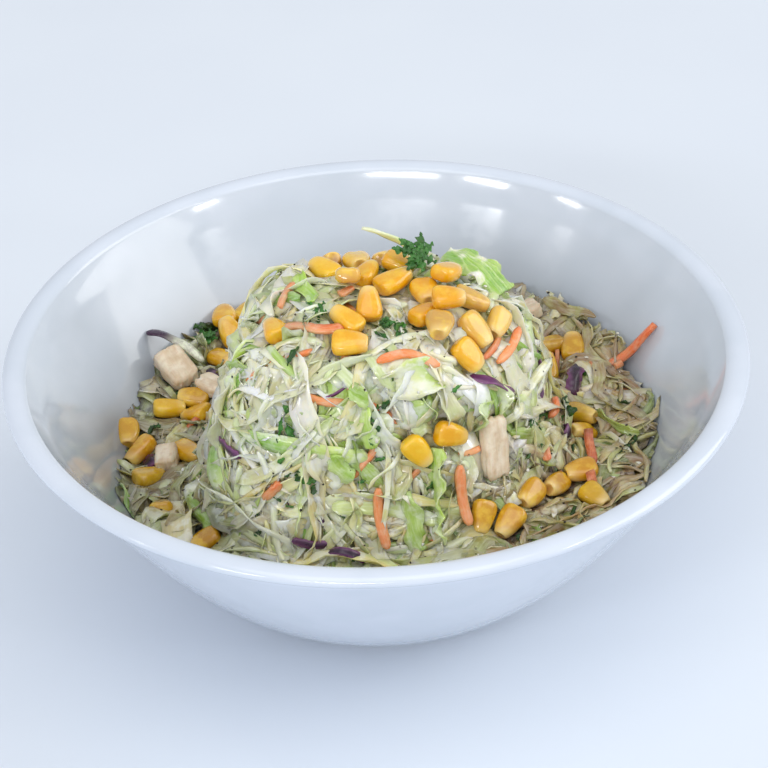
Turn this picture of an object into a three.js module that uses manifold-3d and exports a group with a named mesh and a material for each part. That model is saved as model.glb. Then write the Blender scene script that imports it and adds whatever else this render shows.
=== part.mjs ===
// Coleslaw with sweetcorn, carrot, red cabbage, parsley and diced chicken, heaped in a white glazed bowl.
// Millimetres, +Z up. The origin is on the table under the middle of the foot, and -Y faces the viewer.
import * as THREE from "three";
import { mergeVertices } from "three/addons/utils/BufferGeometryUtils.js";
import Module from "manifold-3d";

const wasm = await Module();
wasm.setup();

// Bowl: eight inches across, on a turned foot, with a rounded lip
const RIM_RADIUS = 102;
const RIM_MID_HEIGHT = 69;
const LIP_WIDTH = 7;
const LIP_HEIGHT = 4;
const WALL_THICKNESS = 4;
const WALL_TOP_RADIUS = 97;
const WALL_TOP_HEIGHT = 66.2;
const WALL_FLARE = 1.5;
const FOOT_RADIUS = 41;
const FOOT_HEIGHT = 3;
const FOOT_WIDTH = 4;
const FOOT_RECESS = 2.4;
const FOOT_EDGE = 0.8;
const LIP_ANGLES = [-110, -65, -25, 15, 55, 95, 135, 172];
const WALL_STEPS = [0, 0.1, 0.25, 0.43, 0.62, 0.81, 1];
const SPOKES = 52;

// Bed of salad: nearly level, and a little higher against the wall at its four corners
const BED = { height: 36.5, tilt_x: 0.048, tilt_y: 0.03, corner_rise: 3.5, corner_radius: 70 };
// Mound on the bed: steep, with a wide crown and a squarish outline that is shallower at the back
const MOUND = {
  x: 0.5,
  y: -4,
  top: 90,
  tilt_x: -0.02,
  crown: 2,
  radius: 39,
  shoulder: 3.7,
  squareness: 2.7,
  back: 1.45,
};
const MOUND_LOBES = [
  { count: 2, share: 0.05, turn: 0.6 },
  { count: 3, share: 0.04, turn: 2.3 },
  { count: 5, share: 0.03, turn: 1.2 },
];
const LUMPS = [
  { height: 1.3, across: 5.1, along: 6.3, shift: 0.4 },
  { height: 0.8, across: 3.2, along: 2.7, shift: 2.1 },
];
const TERRAIN_RINGS = 15;
const TERRAIN_SPOKES = 34;
const TERRAIN_RADIUS = 88;
const GAP = 0.35;

// Sweetcorn kernels on the mound, undermost first, each [x, y, turn in degrees, lean in degrees, length]
const TOP_CORN = [
  [-3.5, 11, 100, 8, 9],
  [7, 7.5, 154, 10, 8.6],
  [-1, 3, 242, 12, 8.8],
  [-10.5, 14, 100, 5, 9.2],
  [-5.5, -4.5, 270, 25, 9.4],
  [-13, 9, 312, 5, 9.4],
  [2.5, 13, 80, 6, 8.4],
  [14, -7, 104, 10, 8.2],
  [7.5, -4, 214, 6, 10.8],
  [19, -2.5, 236, 12, 9.6],
  [-2, -13, 276, -20, 9.4],
  [12.2, -15.2, 226, 14, 9.4],
  [25, -9, 180, 8, 10],
  [19.5, -14, 186, 4, 8.8],
  [31, -13, 80, 16, 8.6],
  [27, -19, 142, 4, 10.4],
  [15, -22.5, 84, -8, 9.4],
  [21.5, -24, 150, 0, 9.4],
  [-8, -20, 320, 2, 9.6],
  [-4.5, -25.5, 174, 6, 9.6],
  [-26, -18, 288, 8, 9.2],
  [10, -39.6, 132, 4, 9.2],
  [18, -36.5, 178, 8, 9],
];

// Sweetcorn kernels mixed into the bed, each [x, y, turn in degrees]
const BED_CORN = [
  [-42, 54, 296],
  [-44, 60, 272],
  [-38, 62, 250],
  [-33, 66, 254],
  [-45, 43, 134],
  [-60, 23, 188],
  [-52, 27, 348],
  [-51, 18, 326],
  [-71, 13, 92],
  [-66, 5, 40],
  [-53, 0, 134],
  [-64, -8, 210],
  [-60, -23, 274],
  [-47, -42, 12],
  [50, 36, 20],
  [57, 35, 266],
  [49, 26, 264],
  [42, 12, 346],
  [57, 5, 142],
  [55, -4, 34],
  [26, -43, 96],
  [39, -35, 62],
  [46, -29, 46],
  [34, -44, 56],
  [54, -23, 18],
  [58, -33, 126],
  [6, 60, 45],
  [-14, 52, 110],
  [28, 57, 20],
];
const KERNEL = { width: 7.4, thickness: 5, length: 9.6, sunk: 0.28, lean: [-8, 8] };

// Diced chicken, each [x, y, turn in degrees, length, width, thickness]
const CHICKEN = [
  [-58, 37, 304, 13, 9.5, 6],
  [29, -33.6, 296, 17, 8.5, 4.5],
  [-58, -2, 82, 8, 6.5, 6],
  [-47, 29, 324, 9, 6.5, 5],
  [44, 50, 30, 11, 8, 5],
];
const DICE_KNOCK = [0.92, 1.04];
const DICE_END = 0.8;

// Parsley sprigs, each [x, y, turn in degrees, lean in degrees, size]
const PARSLEY = [
  [11.5, 0.5, 90, 40, 15],
  [-16, -16, 60, 16, 11],
  [-51, 53, 20, 10, 10],
];
const SPRIG = { lobes: 5, middle: 0.62, lobe_depth: 0.3, tooth_depth: 0.08, steps: 30 };
const SPRIG_THICKNESS = 0.9;
const SPRIG_CRINKLE = 0.9;

// The large green cabbage leaf that hangs over the mound's back right shoulder
const LEAF = { x: 28.5, y: 6, turn: -34, lean: -20, tip: 0, share: 0.3 };
const LEAF_FORM = { length: 20, width: 13.5, thickness: 0.9, round: 0.45, droop: 2.4 };
const LEAF_WAVE = { count: 2.5, height: 1.1 };

// Shreds fused to the heap, and carrot strips among them
const SEED = 21;
const SHRED_COUNT = 48;
const SHRED = { length: [18, 36], width: [3, 7.2], thickness: 1.4 };
const CARROT_COUNT = 10;
const CARROT = { length: [13, 20], width: [2.2, 2.8], thickness: 1.8 };
const SHRED_STEPS = 4;
const SHRED_SEAT = 0.4;
const SHRED_REACH = 66;
const SHRED_SHIFT = [-1.5, 1.5];
const SHRED_LIFT = [1, 3.8];
const SHRED_BEND = [-0.8, 0.8];
const SHRED_ROLL = [-0.45, 0.45];
const SHRED_TIP = 0.55;
const SHRED_TRIALS = 5;

// Strips that stand away from the heap, as routes of [x, y, height above the heap]
const STRAYS = [
  // the pale shred that curls up behind the mound's top
  { width: 2.6, thickness: 1.2, route: [[15, 21, -4], [9, 22, 5], [2, 22, 14], [-5, 21, 18]] },
  // the carrot stick that leans on the wall
  { width: 2.8, thickness: 2.2, route: [[63, 26, 0], [71, 27, 4.5], [79.5, 28, 12.5]] },
  // the red cabbage rib that points at the wall
  { width: 3.2, thickness: 1.6, route: [[-52, 48, 1.5], [-58, 49, 3], [-64, 49, 5]] },
  // the thin shred that trails towards the wall
  { width: 1.8, thickness: 1, route: [[58, -3, 1], [66, -11, 1.6], [71, -20, 2.4]] },
  // shreds that reach out of the mound's left side and right side
  { width: 3.4, thickness: 1.1, route: [[-30, -10, 0], [-38, -12, 1], [-45, -13, 12]] },
  { width: 3.2, thickness: 1.2, route: [[32, -6, 0], [38, -12, 2], [40, -19, 3]] },
];

const radians = THREE.MathUtils.degToRad;

// A seeded draw between 0 and 1
let state = SEED;
function draw() {
  state = (state + 0x6d2b79f5) | 0;
  let t = Math.imul(state ^ (state >>> 15), 1 | state);
  t = (t + Math.imul(t ^ (t >>> 7), 61 | t)) ^ t;
  return ((t ^ (t >>> 14)) >>> 0) / 4294967296;
}

const between = ([low, high]) => low + (high - low) * draw();

// Solids and meshes
function toSolid(geometry) {
  const bare = geometry.clone();
  for (const name of Object.keys(bare.attributes)) {
    if (name !== "position") bare.deleteAttribute(name);
  }
  const merged = mergeVertices(bare, 1e-4);
  return new wasm.Manifold(
    new wasm.Mesh({
      numProp: 3,
      vertProperties: merged.attributes.position.array,
      triVerts: new Uint32Array(merged.index.array),
    }),
  );
}

function toGeometry(solid) {
  const mesh = solid.getMesh();
  const geometry = new THREE.BufferGeometry();
  geometry.setAttribute("position", new THREE.BufferAttribute(Float32Array.from(mesh.vertProperties), 3));
  geometry.setIndex(new THREE.BufferAttribute(Uint32Array.from(mesh.triVerts), 1));
  geometry.computeVertexNormals();
  return geometry;
}

// A closed skin over rings of points, each ring with the same number of points, closed flat at both ends
function skin(rings) {
  const around = rings[0].length;
  const points = rings.flat();
  const triangles = [];
  for (let i = 0; i + 1 < rings.length; i++) {
    for (let j = 0; j < around; j++) {
      const a = i * around + j;
      const b = i * around + ((j + 1) % around);
      triangles.push(a, b, b + around, a, b + around, a + around);
    }
  }
  const last = (rings.length - 1) * around;
  for (let j = 1; j + 1 < around; j++) {
    triangles.push(0, j + 1, j);
    triangles.push(last, last + j, last + j + 1);
  }
  const geometry = new THREE.BufferGeometry().setFromPoints(points);
  geometry.setIndex(triangles);
  return geometry;
}

// Turns a profile of [radius, height] points about the Z axis
function turned(profile) {
  const points = profile.map(([r, z]) => new THREE.Vector2(r, z));
  return new THREE.LatheGeometry(points, SPOKES).rotateX(Math.PI / 2);
}

// The wall's outer line, t from 0 at the foot to 1 under the lip, moved inwards by depth
function wallPoint(t, depth) {
  const run = WALL_TOP_RADIUS - FOOT_RADIUS;
  const rise = WALL_TOP_HEIGHT - FOOT_HEIGHT;
  const slope = rise * WALL_FLARE * Math.sqrt(t);
  const size = Math.hypot(run, slope);
  return [
    FOOT_RADIUS + run * t - (depth * slope) / size,
    FOOT_HEIGHT + rise * t ** WALL_FLARE + (depth * run) / size,
  ];
}

function bowlGeometry() {
  const lipMiddle = RIM_RADIUS - LIP_WIDTH / 2;
  const lip = LIP_ANGLES.map((angle) => [
    lipMiddle + (LIP_WIDTH / 2) * Math.cos(radians(angle)),
    RIM_MID_HEIGHT + (LIP_HEIGHT / 2) * Math.sin(radians(angle)),
  ]);
  const outside = WALL_STEPS.map((t) => wallPoint(t, 0));
  const inside = WALL_STEPS.map((t) => wallPoint(t, WALL_THICKNESS)).reverse();
  return turned([
    [0, FOOT_RECESS],
    [FOOT_RADIUS - FOOT_WIDTH - 1, FOOT_RECESS],
    [FOOT_RADIUS - FOOT_WIDTH, 0],
    [FOOT_RADIUS - FOOT_EDGE, 0],
    [FOOT_RADIUS, FOOT_EDGE],
    ...outside,
    ...lip,
    ...inside,
    [0, FOOT_HEIGHT + WALL_THICKNESS],
  ]);
}

// The room inside the bowl, a gap clear of its wall, carried on upwards
function insideGeometry() {
  const depth = WALL_THICKNESS + GAP;
  const wall = WALL_STEPS.map((t) => wallPoint(t, depth));
  const top = 2 * RIM_MID_HEIGHT;
  return turned([[0, FOOT_HEIGHT + depth], ...wall, [wall.at(-1)[0], top], [0, top]]);
}

// Share of the mound over a place in plan, 1 on its crown and 0 out on the bed, and how far out the place is
function moundAt(x, y) {
  const dx = x - MOUND.x;
  const dy = y > MOUND.y ? (y - MOUND.y) * MOUND.back : y - MOUND.y;
  const square = MOUND.squareness;
  const reach = (Math.abs(dx) ** square + Math.abs(dy) ** square) ** (1 / square);
  const angle = Math.atan2(dy, dx);
  let radius = MOUND.radius;
  for (const lobe of MOUND_LOBES) {
    radius += MOUND.radius * lobe.share * Math.sin(lobe.count * angle + lobe.turn);
  }
  return { share: 1 / (1 + Math.exp((reach - radius) / MOUND.shoulder)), out: reach / radius };
}

// Height of the heap's bare core over a place in plan
function heapHeight(x, y) {
  const corner = (2 * x * y) ** 2 / Math.max(x * x + y * y, 1) / BED.corner_radius ** 2;
  const bed = BED.height + BED.tilt_x * x + BED.tilt_y * y + BED.corner_rise * corner;
  const { share, out } = moundAt(x, y);
  const top = MOUND.top + MOUND.tilt_x * x - MOUND.crown * out ** 2;
  let lumps = 0;
  for (const lump of LUMPS) {
    lumps += lump.height * Math.sin(x / lump.across + lump.shift) * Math.cos(y / lump.along - lump.shift);
  }
  return bed + (top - bed) * share + lumps;
}

// The heap's slope and outward normal
function heapSlope(x, y) {
  const step = 0.5;
  return [
    (heapHeight(x + step, y) - heapHeight(x - step, y)) / (2 * step),
    (heapHeight(x, y + step) - heapHeight(x, y - step)) / (2 * step),
  ];
}

function heapNormal(x, y) {
  const [sx, sy] = heapSlope(x, y);
  return new THREE.Vector3(-sx, -sy, 1).normalize();
}

// The bare core: rings of the height field, closed by a flat underside below the bowl's floor
function terrainGeometry() {
  const rings = [];
  for (let i = TERRAIN_RINGS; i >= 0; i--) {
    const radius = Math.max(TERRAIN_RADIUS * (i / TERRAIN_RINGS), 0.5);
    const ring = [];
    for (let j = 0; j < TERRAIN_SPOKES; j++) {
      const angle = (2 * Math.PI * j) / TERRAIN_SPOKES;
      const x = radius * Math.cos(angle);
      const y = radius * Math.sin(angle);
      ring.push(new THREE.Vector3(x, y, heapHeight(x, y)));
    }
    rings.push(ring);
  }
  rings.unshift(rings[0].map((p) => new THREE.Vector3(p.x, p.y, 0)));
  return skin(rings);
}

// A flat strip along a line of points: width across the heap's slope, thickness along its normal, narrow ends
function stripGeometry(line, width, thickness, roll = 0) {
  const rings = line.map((p, i) => {
    const ahead = line[Math.min(i + 1, line.length - 1)];
    const behind = line[Math.max(i - 1, 0)];
    const along = ahead.clone().sub(behind).normalize();
    const side = heapNormal(p.x, p.y).cross(along).normalize().applyAxisAngle(along, roll);
    const up = along.clone().cross(side);
    const half = (width * (i === 0 || i === line.length - 1 ? SHRED_TIP : 1)) / 2;
    const corner = (a, b) => p.clone().addScaledVector(side, a).addScaledVector(up, (b * thickness) / 2);
    return [corner(half, -1), corner(half, 1), corner(-half, 1), corner(-half, -1)];
  });
  return skin(rings);
}

// A shred that walks over the heap from its middle both ways, half sunk, with its ends lifted
function shredGeometry({ x, y, turn, length, width, thickness, lift, bend, roll }) {
  const walk = (sign) => {
    const places = [];
    let at = [x, y];
    let heading = turn;
    for (let i = 0; i < SHRED_STEPS / 2; i++) {
      const [sx, sy] = heapSlope(...at);
      const [ux, uy] = [Math.cos(heading), Math.sin(heading)];
      const pace = ((length / SHRED_STEPS) * sign) / Math.hypot(1, sx * ux + sy * uy);
      at = [at[0] + pace * ux, at[1] + pace * uy];
      heading += (bend / SHRED_STEPS) * sign;
      places.push(at);
    }
    return places;
  };
  const plan = [...walk(-1).reverse(), [x, y], ...walk(1)];
  const line = plan.map(([px, py], i) => {
    const share = Math.abs((2 * i) / (plan.length - 1) - 1);
    const height = thickness * SHRED_SEAT + lift * share ** 2;
    return new THREE.Vector3(px, py, heapHeight(px, py)).addScaledVector(heapNormal(px, py), height);
  });
  return stripGeometry(line, width, thickness, roll);
}

// A kernel: a wedge along X, wide at the crown and narrow at the cut tip, thinner in Z than in Y
const KERNEL_STATIONS = [
  [-0.5, 0.5],
  [-0.3, 0.78],
  [0.16, 1],
  [0.38, 0.8],
  [0.5, 0.36],
];

function kernelGeometry(length, stations = KERNEL_STATIONS, around = 7) {
  const rings = stations.map(([along, share]) => {
    const ring = [];
    for (let j = 0; j < around; j++) {
      const angle = (2 * Math.PI * j) / around;
      const y = (KERNEL.width / 2) * share * Math.cos(angle);
      const z = (KERNEL.thickness / 2) * Math.sqrt(share) * Math.sin(angle);
      ring.push(new THREE.Vector3(along * length, y, z));
    }
    return ring;
  });
  return skin(rings);
}

// A dice of chicken: a block with its corners knocked about and its edges taken off
function chickenGeometry(length, width, thickness) {
  const rings = [-0.5, -0.38, 0.38, 0.5].map((along) => {
    const share = Math.abs(along) === 0.5 ? DICE_END : 1;
    const ring = [];
    for (let j = 0; j < 8; j++) {
      const angle = (2 * Math.PI * (j + 0.5)) / 8;
      const square = 1 / Math.max(Math.abs(Math.cos(angle)), Math.abs(Math.sin(angle)));
      const y = (width / 2) * share * square * Math.cos(angle) * between(DICE_KNOCK);
      const z = (thickness / 2) * share * square * Math.sin(angle) * between(DICE_KNOCK);
      ring.push(new THREE.Vector3(along * length, y, z));
    }
    return ring;
  });
  return skin(rings);
}

// A thin sheet over a grid of points, as thick as said, both faces split alike
function sheetGeometry(grid, thickness) {
  const rows = grid.length;
  const columns = grid[0].length;
  const up = new THREE.Vector3(0, 0, thickness);
  const points = [...grid.flat(), ...grid.flat().map((p) => p.clone().add(up))];
  const top = rows * columns;
  const triangles = [];
  for (let i = 0; i + 1 < rows; i++) {
    for (let j = 0; j + 1 < columns; j++) {
      const a = i * columns + j;
      const b = a + 1;
      const c = a + columns;
      const d = c + 1;
      triangles.push(a, d, c, a, b, d);
      triangles.push(top + a, top + c, top + d, top + a, top + d, top + b);
    }
  }
  const edge = [];
  for (let j = 0; j < columns; j++) edge.push(j);
  for (let i = 1; i < rows; i++) edge.push(i * columns + columns - 1);
  for (let j = columns - 2; j >= 0; j--) edge.push((rows - 1) * columns + j);
  for (let i = rows - 2; i > 0; i--) edge.push(i * columns);
  edge.forEach((a, k) => {
    const b = edge[(k + 1) % edge.length];
    triangles.push(a, top + b, b, a, top + a, top + b);
  });
  const geometry = new THREE.BufferGeometry().setFromPoints(points);
  geometry.setIndex(triangles);
  return geometry;
}

// The leaf: a cupped, wavy sheet with a rounded outline
function leafGeometry() {
  const rows = 9;
  const columns = 7;
  const grid = [];
  for (let i = 0; i < rows; i++) {
    const u = (2 * i) / (rows - 1) - 1;
    const row = [];
    for (let j = 0; j < columns; j++) {
      const v = (2 * j) / (columns - 1) - 1;
      const round = Math.sqrt(1 - LEAF_FORM.round * u * u);
      const x = (u * LEAF_FORM.length) / 2;
      const y = (v * round * LEAF_FORM.width) / 2;
      const wave = LEAF_WAVE.height * Math.sin(LEAF_WAVE.count * Math.PI * u) * v * v;
      const droop = LEAF_FORM.droop * (u * u + 0.5 * v * v);
      row.push(new THREE.Vector3(x, y, wave - droop));
    }
    grid.push(row);
  }
  return sheetGeometry(grid, LEAF_FORM.thickness);
}

// A sprig: toothed lobes that fan from their middle, as one thin crinkled solid
function parsleyGeometry(size) {
  const outline = new THREE.Shape();
  for (let i = 0; i < SPRIG.steps; i++) {
    const angle = (2 * Math.PI * i) / SPRIG.steps;
    const lobe = SPRIG.lobe_depth * Math.cos(SPRIG.lobes * angle);
    const tooth = SPRIG.tooth_depth * Math.cos(3 * SPRIG.lobes * angle);
    const radius = (size / 2) * (SPRIG.middle + lobe + tooth);
    outline[i === 0 ? "moveTo" : "lineTo"](radius * Math.cos(angle), radius * Math.sin(angle));
  }
  outline.closePath();
  const geometry = new THREE.ExtrudeGeometry(outline, { depth: SPRIG_THICKNESS, bevelEnabled: false });
  const place = geometry.attributes.position;
  for (let i = 0; i < place.count; i++) {
    const x = place.getX(i);
    const y = place.getY(i);
    const out = Math.hypot(x, y) / (size / 2);
    place.setZ(i, place.getZ(i) + SPRIG_CRINKLE * Math.sin(3 * Math.atan2(y, x)) * out);
  }
  return geometry;
}

// Placing: a topping follows a share of the heap's slope, its +X end raised by lean and its +Y side by tip
const bowl = toSolid(bowlGeometry());
const inside = toSolid(insideGeometry());
const core = toSolid(terrainGeometry()).intersect(inside);
const placed = [];

function frameAt(x, y, { turn, lean = 0, tip = 0, share = 1 }) {
  const normal = heapNormal(x, y);
  const up = new THREE.Vector3(0, 0, 1).lerp(normal, share).normalize();
  const upright = new THREE.Quaternion().setFromUnitVectors(new THREE.Vector3(0, 0, 1), up);
  const turning = new THREE.Quaternion().setFromAxisAngle(new THREE.Vector3(0, 0, 1), radians(turn));
  const leaning = new THREE.Quaternion().setFromEuler(new THREE.Euler(radians(tip), radians(-lean), 0));
  return { up, rotation: upright.multiply(turning).multiply(leaning) };
}

function overlaps(solid, others) {
  return others.some((other) => solid.intersect(other).volume() > 1e-6);
}

// A topping's search for its seat: heights above the heap, how finely it is halved, and the places tried
const SEARCH = { low: -2, high: 14, fine: 0.05 };
const NUDGE = 1;
const NUDGE_FAR = 1.5;
const NUDGE_COST = 1;
const NUDGES = [
  [0, 0],
  [NUDGE, 0],
  [-NUDGE, 0],
  [0, NUDGE],
  [0, -NUDGE],
  [NUDGE_FAR, NUDGE_FAR],
  [-NUDGE_FAR, NUDGE_FAR],
  [NUDGE_FAR, -NUDGE_FAR],
  [-NUDGE_FAR, -NUDGE_FAR],
];

// Lowers a geometry along the slope's normal until it would touch, keeping a gap, and returns its mesh. Of
// the place asked for and the nudged places round it, the lowest wins, a nudge counting as height
function settle(name, geometry, material, { x, y, ...attitude }) {
  geometry.computeBoundingBox();
  const size = geometry.boundingBox.getSize(new THREE.Vector3());
  const grown = geometry.clone().scale(...size.toArray().map((s) => (s + 2 * GAP) / s));
  const unscaled = new THREE.Vector3(1, 1, 1);
  let best;
  for (const [dx, dy] of NUDGES) {
    const { up, rotation } = frameAt(x + dx, y + dy, attitude);
    const ground = new THREE.Vector3(x + dx, y + dy, heapHeight(x + dx, y + dy));
    const placeAt = (height) => ground.clone().addScaledVector(up, height);
    const solidAt = (height) => {
      const matrix = new THREE.Matrix4().compose(placeAt(height), rotation, unscaled);
      return toSolid(grown.clone().applyMatrix4(matrix));
    };
    let { low, high } = SEARCH;
    while (high - low > SEARCH.fine) {
      const middle = (low + high) / 2;
      if (overlaps(solidAt(middle), [core, bowl, ...placed])) low = middle;
      else high = middle;
    }
    const height = high + GAP / 2;
    const cost = height + Math.hypot(dx, dy) * NUDGE_COST;
    if (!best || cost < best.cost) best = { cost, place: placeAt(height), rotation, solid: solidAt(height) };
  }
  placed.push(best.solid);
  const mesh = new THREE.Mesh(geometry, material);
  mesh.name = name;
  mesh.position.copy(best.place);
  mesh.quaternion.copy(best.rotation);
  return mesh;
}

// Shares places out evenly over the heap's slanting surface, along a sunflower spiral
function* spreadPlaces(count, reach) {
  const golden = Math.PI * (3 - Math.sqrt(5));
  const areas = [0];
  for (let r = 0.5; r < reach; r++) {
    const [sx, sy] = heapSlope(MOUND.x - r, MOUND.y);
    areas.push(areas.at(-1) + r * Math.hypot(1, sx, sy));
  }
  for (let i = 0; i < count; i++) {
    const wanted = (areas.at(-1) * (i + 0.5)) / count;
    const radius = areas.findIndex((area) => area > wanted) - 0.5;
    const squash = Math.sin(i * golden) > 0 ? (MOUND.back + 1) / 2 : 1;
    yield [MOUND.x + radius * Math.cos(i * golden), MOUND.y + (radius * Math.sin(i * golden)) / squash];
  }
}

// The heap: the core with the bed's kernels, the shreds and the carrot that miss every topping
function heapSolid() {
  const pieces = [];
  const add = (geometry) => {
    const solid = toSolid(geometry);
    const clear = !overlaps(solid, placed);
    if (clear) pieces.push(solid);
    return clear;
  };
  for (const { route, width, thickness } of STRAYS) {
    const line = route.map(([x, y, lift]) => new THREE.Vector3(x, y, heapHeight(x, y) + lift));
    add(stripGeometry(line, width, thickness));
  }
  const coarse = KERNEL_STATIONS.filter((_, i) => i !== 1);
  for (const [x, y, turn] of BED_CORN) {
    const { up, rotation } = frameAt(x, y, { turn, lean: between(KERNEL.lean) });
    const place = new THREE.Vector3(x, y, heapHeight(x, y));
    place.addScaledVector(up, KERNEL.thickness * KERNEL.sunk);
    const matrix = new THREE.Matrix4().compose(place, rotation, new THREE.Vector3(1, 1, 1));
    add(kernelGeometry(KERNEL.length, coarse, 6).applyMatrix4(matrix));
  }
  const count = SHRED_COUNT + CARROT_COUNT;
  let index = 0;
  for (const [x, y] of spreadPlaces(count, SHRED_REACH)) {
    const kind = index++ % Math.round(count / CARROT_COUNT) === 3 ? CARROT : SHRED;
    for (let trial = 0; trial < SHRED_TRIALS; trial++) {
      const shred = shredGeometry({
        x: x + between(SHRED_SHIFT),
        y: y + between(SHRED_SHIFT),
        turn: Math.PI * draw(),
        length: between(kind.length),
        width: between(kind.width),
        thickness: kind.thickness,
        lift: between(SHRED_LIFT),
        bend: between(SHRED_BEND),
        roll: between(SHRED_ROLL),
      });
      if (add(shred)) break;
    }
  }
  const fused = wasm.Manifold.union([core, ...pieces]).intersect(inside);
  return fused.decompose().sort((a, b) => b.volume() - a.volume())[0];
}

const finish = (color, roughness) => new THREE.MeshStandardMaterial({ color, roughness, metalness: 0 });
const GLAZE = finish(0xe9edf3, 0.12);
const SLAW = finish(0xdde0b4, 0.45);
const CORN = finish(0xe8b52a, 0.3);
const MEAT = finish(0xd9ccb8, 0.6);
const HERB = finish(0x3f7a2c, 0.5);
const GREEN_LEAF = finish(0x9fc25a, 0.4);

function named(name, geometry, material) {
  const mesh = new THREE.Mesh(geometry, material);
  mesh.name = name;
  return mesh;
}

const coleslaw = new THREE.Group();
coleslaw.add(named("bowl", bowlGeometry(), GLAZE));
CHICKEN.forEach(([x, y, turn, length, width, thickness], i) => {
  const dice = chickenGeometry(length, width, thickness);
  coleslaw.add(settle(`chicken_${i + 1}`, dice, MEAT, { x, y, turn }));
});
coleslaw.add(settle("green_leaf", leafGeometry(), GREEN_LEAF, LEAF));
TOP_CORN.forEach(([x, y, turn, lean, length], i) => {
  coleslaw.add(settle(`corn_${i + 1}`, kernelGeometry(length), CORN, { x, y, turn, lean }));
});
PARSLEY.forEach(([x, y, turn, lean, size], i) => {
  coleslaw.add(settle(`parsley_${i + 1}`, parsleyGeometry(size), HERB, { x, y, turn, lean }));
});
coleslaw.add(named("slaw_heap", toGeometry(heapSolid()), SLAW));

export default coleslaw;
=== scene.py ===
"""Looks for a bowl of dressed coleslaw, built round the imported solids.

Shredded cabbage is heaped in a wide white glazed bowl, with sweetcorn, carrot, red cabbage, parsley and diced
chicken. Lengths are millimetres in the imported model's own frame until a mesh is made, which is in metres.

Every food piece is a tube: a ring of points carried along stations. A shred's stations walk over the heap's
surface, a kernel's run from its cut tip to its crown, and a leaflet's run along its rib.
"""

import logging
import math
from dataclasses import dataclass, field
from enum import Enum

import bpy
import numpy as np
from mathutils import Matrix, Vector


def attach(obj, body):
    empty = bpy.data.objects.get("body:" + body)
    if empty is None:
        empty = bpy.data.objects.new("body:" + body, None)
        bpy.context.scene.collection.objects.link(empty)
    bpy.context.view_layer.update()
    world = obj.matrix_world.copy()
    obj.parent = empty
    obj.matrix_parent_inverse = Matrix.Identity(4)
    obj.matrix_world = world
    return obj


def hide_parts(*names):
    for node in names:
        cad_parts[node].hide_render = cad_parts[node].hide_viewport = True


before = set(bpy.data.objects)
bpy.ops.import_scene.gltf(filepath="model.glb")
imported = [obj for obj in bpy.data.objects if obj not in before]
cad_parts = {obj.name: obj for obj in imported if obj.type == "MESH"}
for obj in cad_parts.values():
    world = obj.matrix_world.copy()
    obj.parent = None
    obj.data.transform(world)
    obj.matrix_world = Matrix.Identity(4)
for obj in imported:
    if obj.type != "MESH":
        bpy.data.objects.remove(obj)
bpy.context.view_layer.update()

Array = np.ndarray
log = logging.getLogger("coleslaw")

MM = 0.001
BODY = "root"
PHOTO_SIDE = 768
# How far loose food keeps from the bowl's wall
WALL_GAP = 0.3


def linear(code: str) -> Array:
    """Turns an sRGB hex colour into linear light.

    Each channel c is c / 12.92 below 0.04045 and ((c + 0.055) / 1.055) to the power 2.4 above it.

    Args:
        code: a colour such as "#F0EAD6".

    Returns:
        The three linear channels.
    """
    part = np.array([int(code[i : i + 2], 16) for i in (1, 3, 5)]) / 255
    return np.where(part <= 0.04045, part / 12.92, ((part + 0.055) / 1.055) ** 2.4)


def rgba(code: str) -> tuple[float, float, float, float]:
    """Gives an sRGB hex colour as linear red, green, blue and full alpha."""
    return (*linear(code).tolist(), 1.0)


def palette(*codes: str) -> Array:
    """Stacks sRGB hex colours into linear rows."""
    return np.stack([linear(code) for code in codes])


def unit(vectors: Array) -> Array:
    """Scales vectors along the last axis to length one."""
    return vectors / np.maximum(np.linalg.norm(vectors, axis=-1, keepdims=True), 1e-9)


def smooth(value: Array, low: float, high: float) -> Array:
    """Rises from 0 at low to 1 at high as 3t squared minus 2t cubed."""
    t = np.clip((value - low) / (high - low), 0, 1)
    return t * t * (3 - 2 * t)


def mixed(first: Array, second: Array, share: Array) -> Array:
    """Mixes two values, all of the second one where the share is 1."""
    return first * (1 - share) + second * share


def full_turn(count: int) -> Array:
    """Gives so many even angles round a full turn."""
    return np.linspace(0, 2 * math.pi, count, endpoint=False)


def ripple(points: Array, wavelength: float, seed: int) -> Array:
    """Gives a smooth uneven field between about -1 and 1.

    It is the sum of seven sine waves of random directions and phases, each wave's length drawn from about
    0.7 to 1.4 times the one given, over the square root of their number.

    Args:
        points: places in millimetres, in rows of three.
        wavelength: the usual distance from crest to crest, in millimetres.
        seed: picks the directions and phases.

    Returns:
        One value for each place.
    """
    draw = np.random.default_rng(seed)
    count = 7
    way = unit(draw.normal(size=(count, 3)))
    waves = way * (2 * math.pi / wavelength) * draw.uniform(0.7, 1.4, (count, 1))
    return np.sin(points @ waves.T + draw.uniform(0, 2 * math.pi, count)).sum(-1) / math.sqrt(count)


@dataclass
class Shape:
    """Joined tubes as points and four-sided faces, with a colour and a grain place for each point."""

    points: Array
    faces: Array
    tint: Array
    grain: Array

    @staticmethod
    def joined(shapes: list["Shape"]) -> "Shape":
        """Joins shapes into one, moving each one's face indexes past the points before it."""
        starts = np.cumsum([0] + [len(s.points) for s in shapes[:-1]])
        return Shape(
            np.concatenate([s.points for s in shapes]),
            np.concatenate([s.faces + start for s, start in zip(shapes, starts)]),
            np.concatenate([s.tint for s in shapes]),
            np.concatenate([s.grain for s in shapes]),
        )


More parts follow.
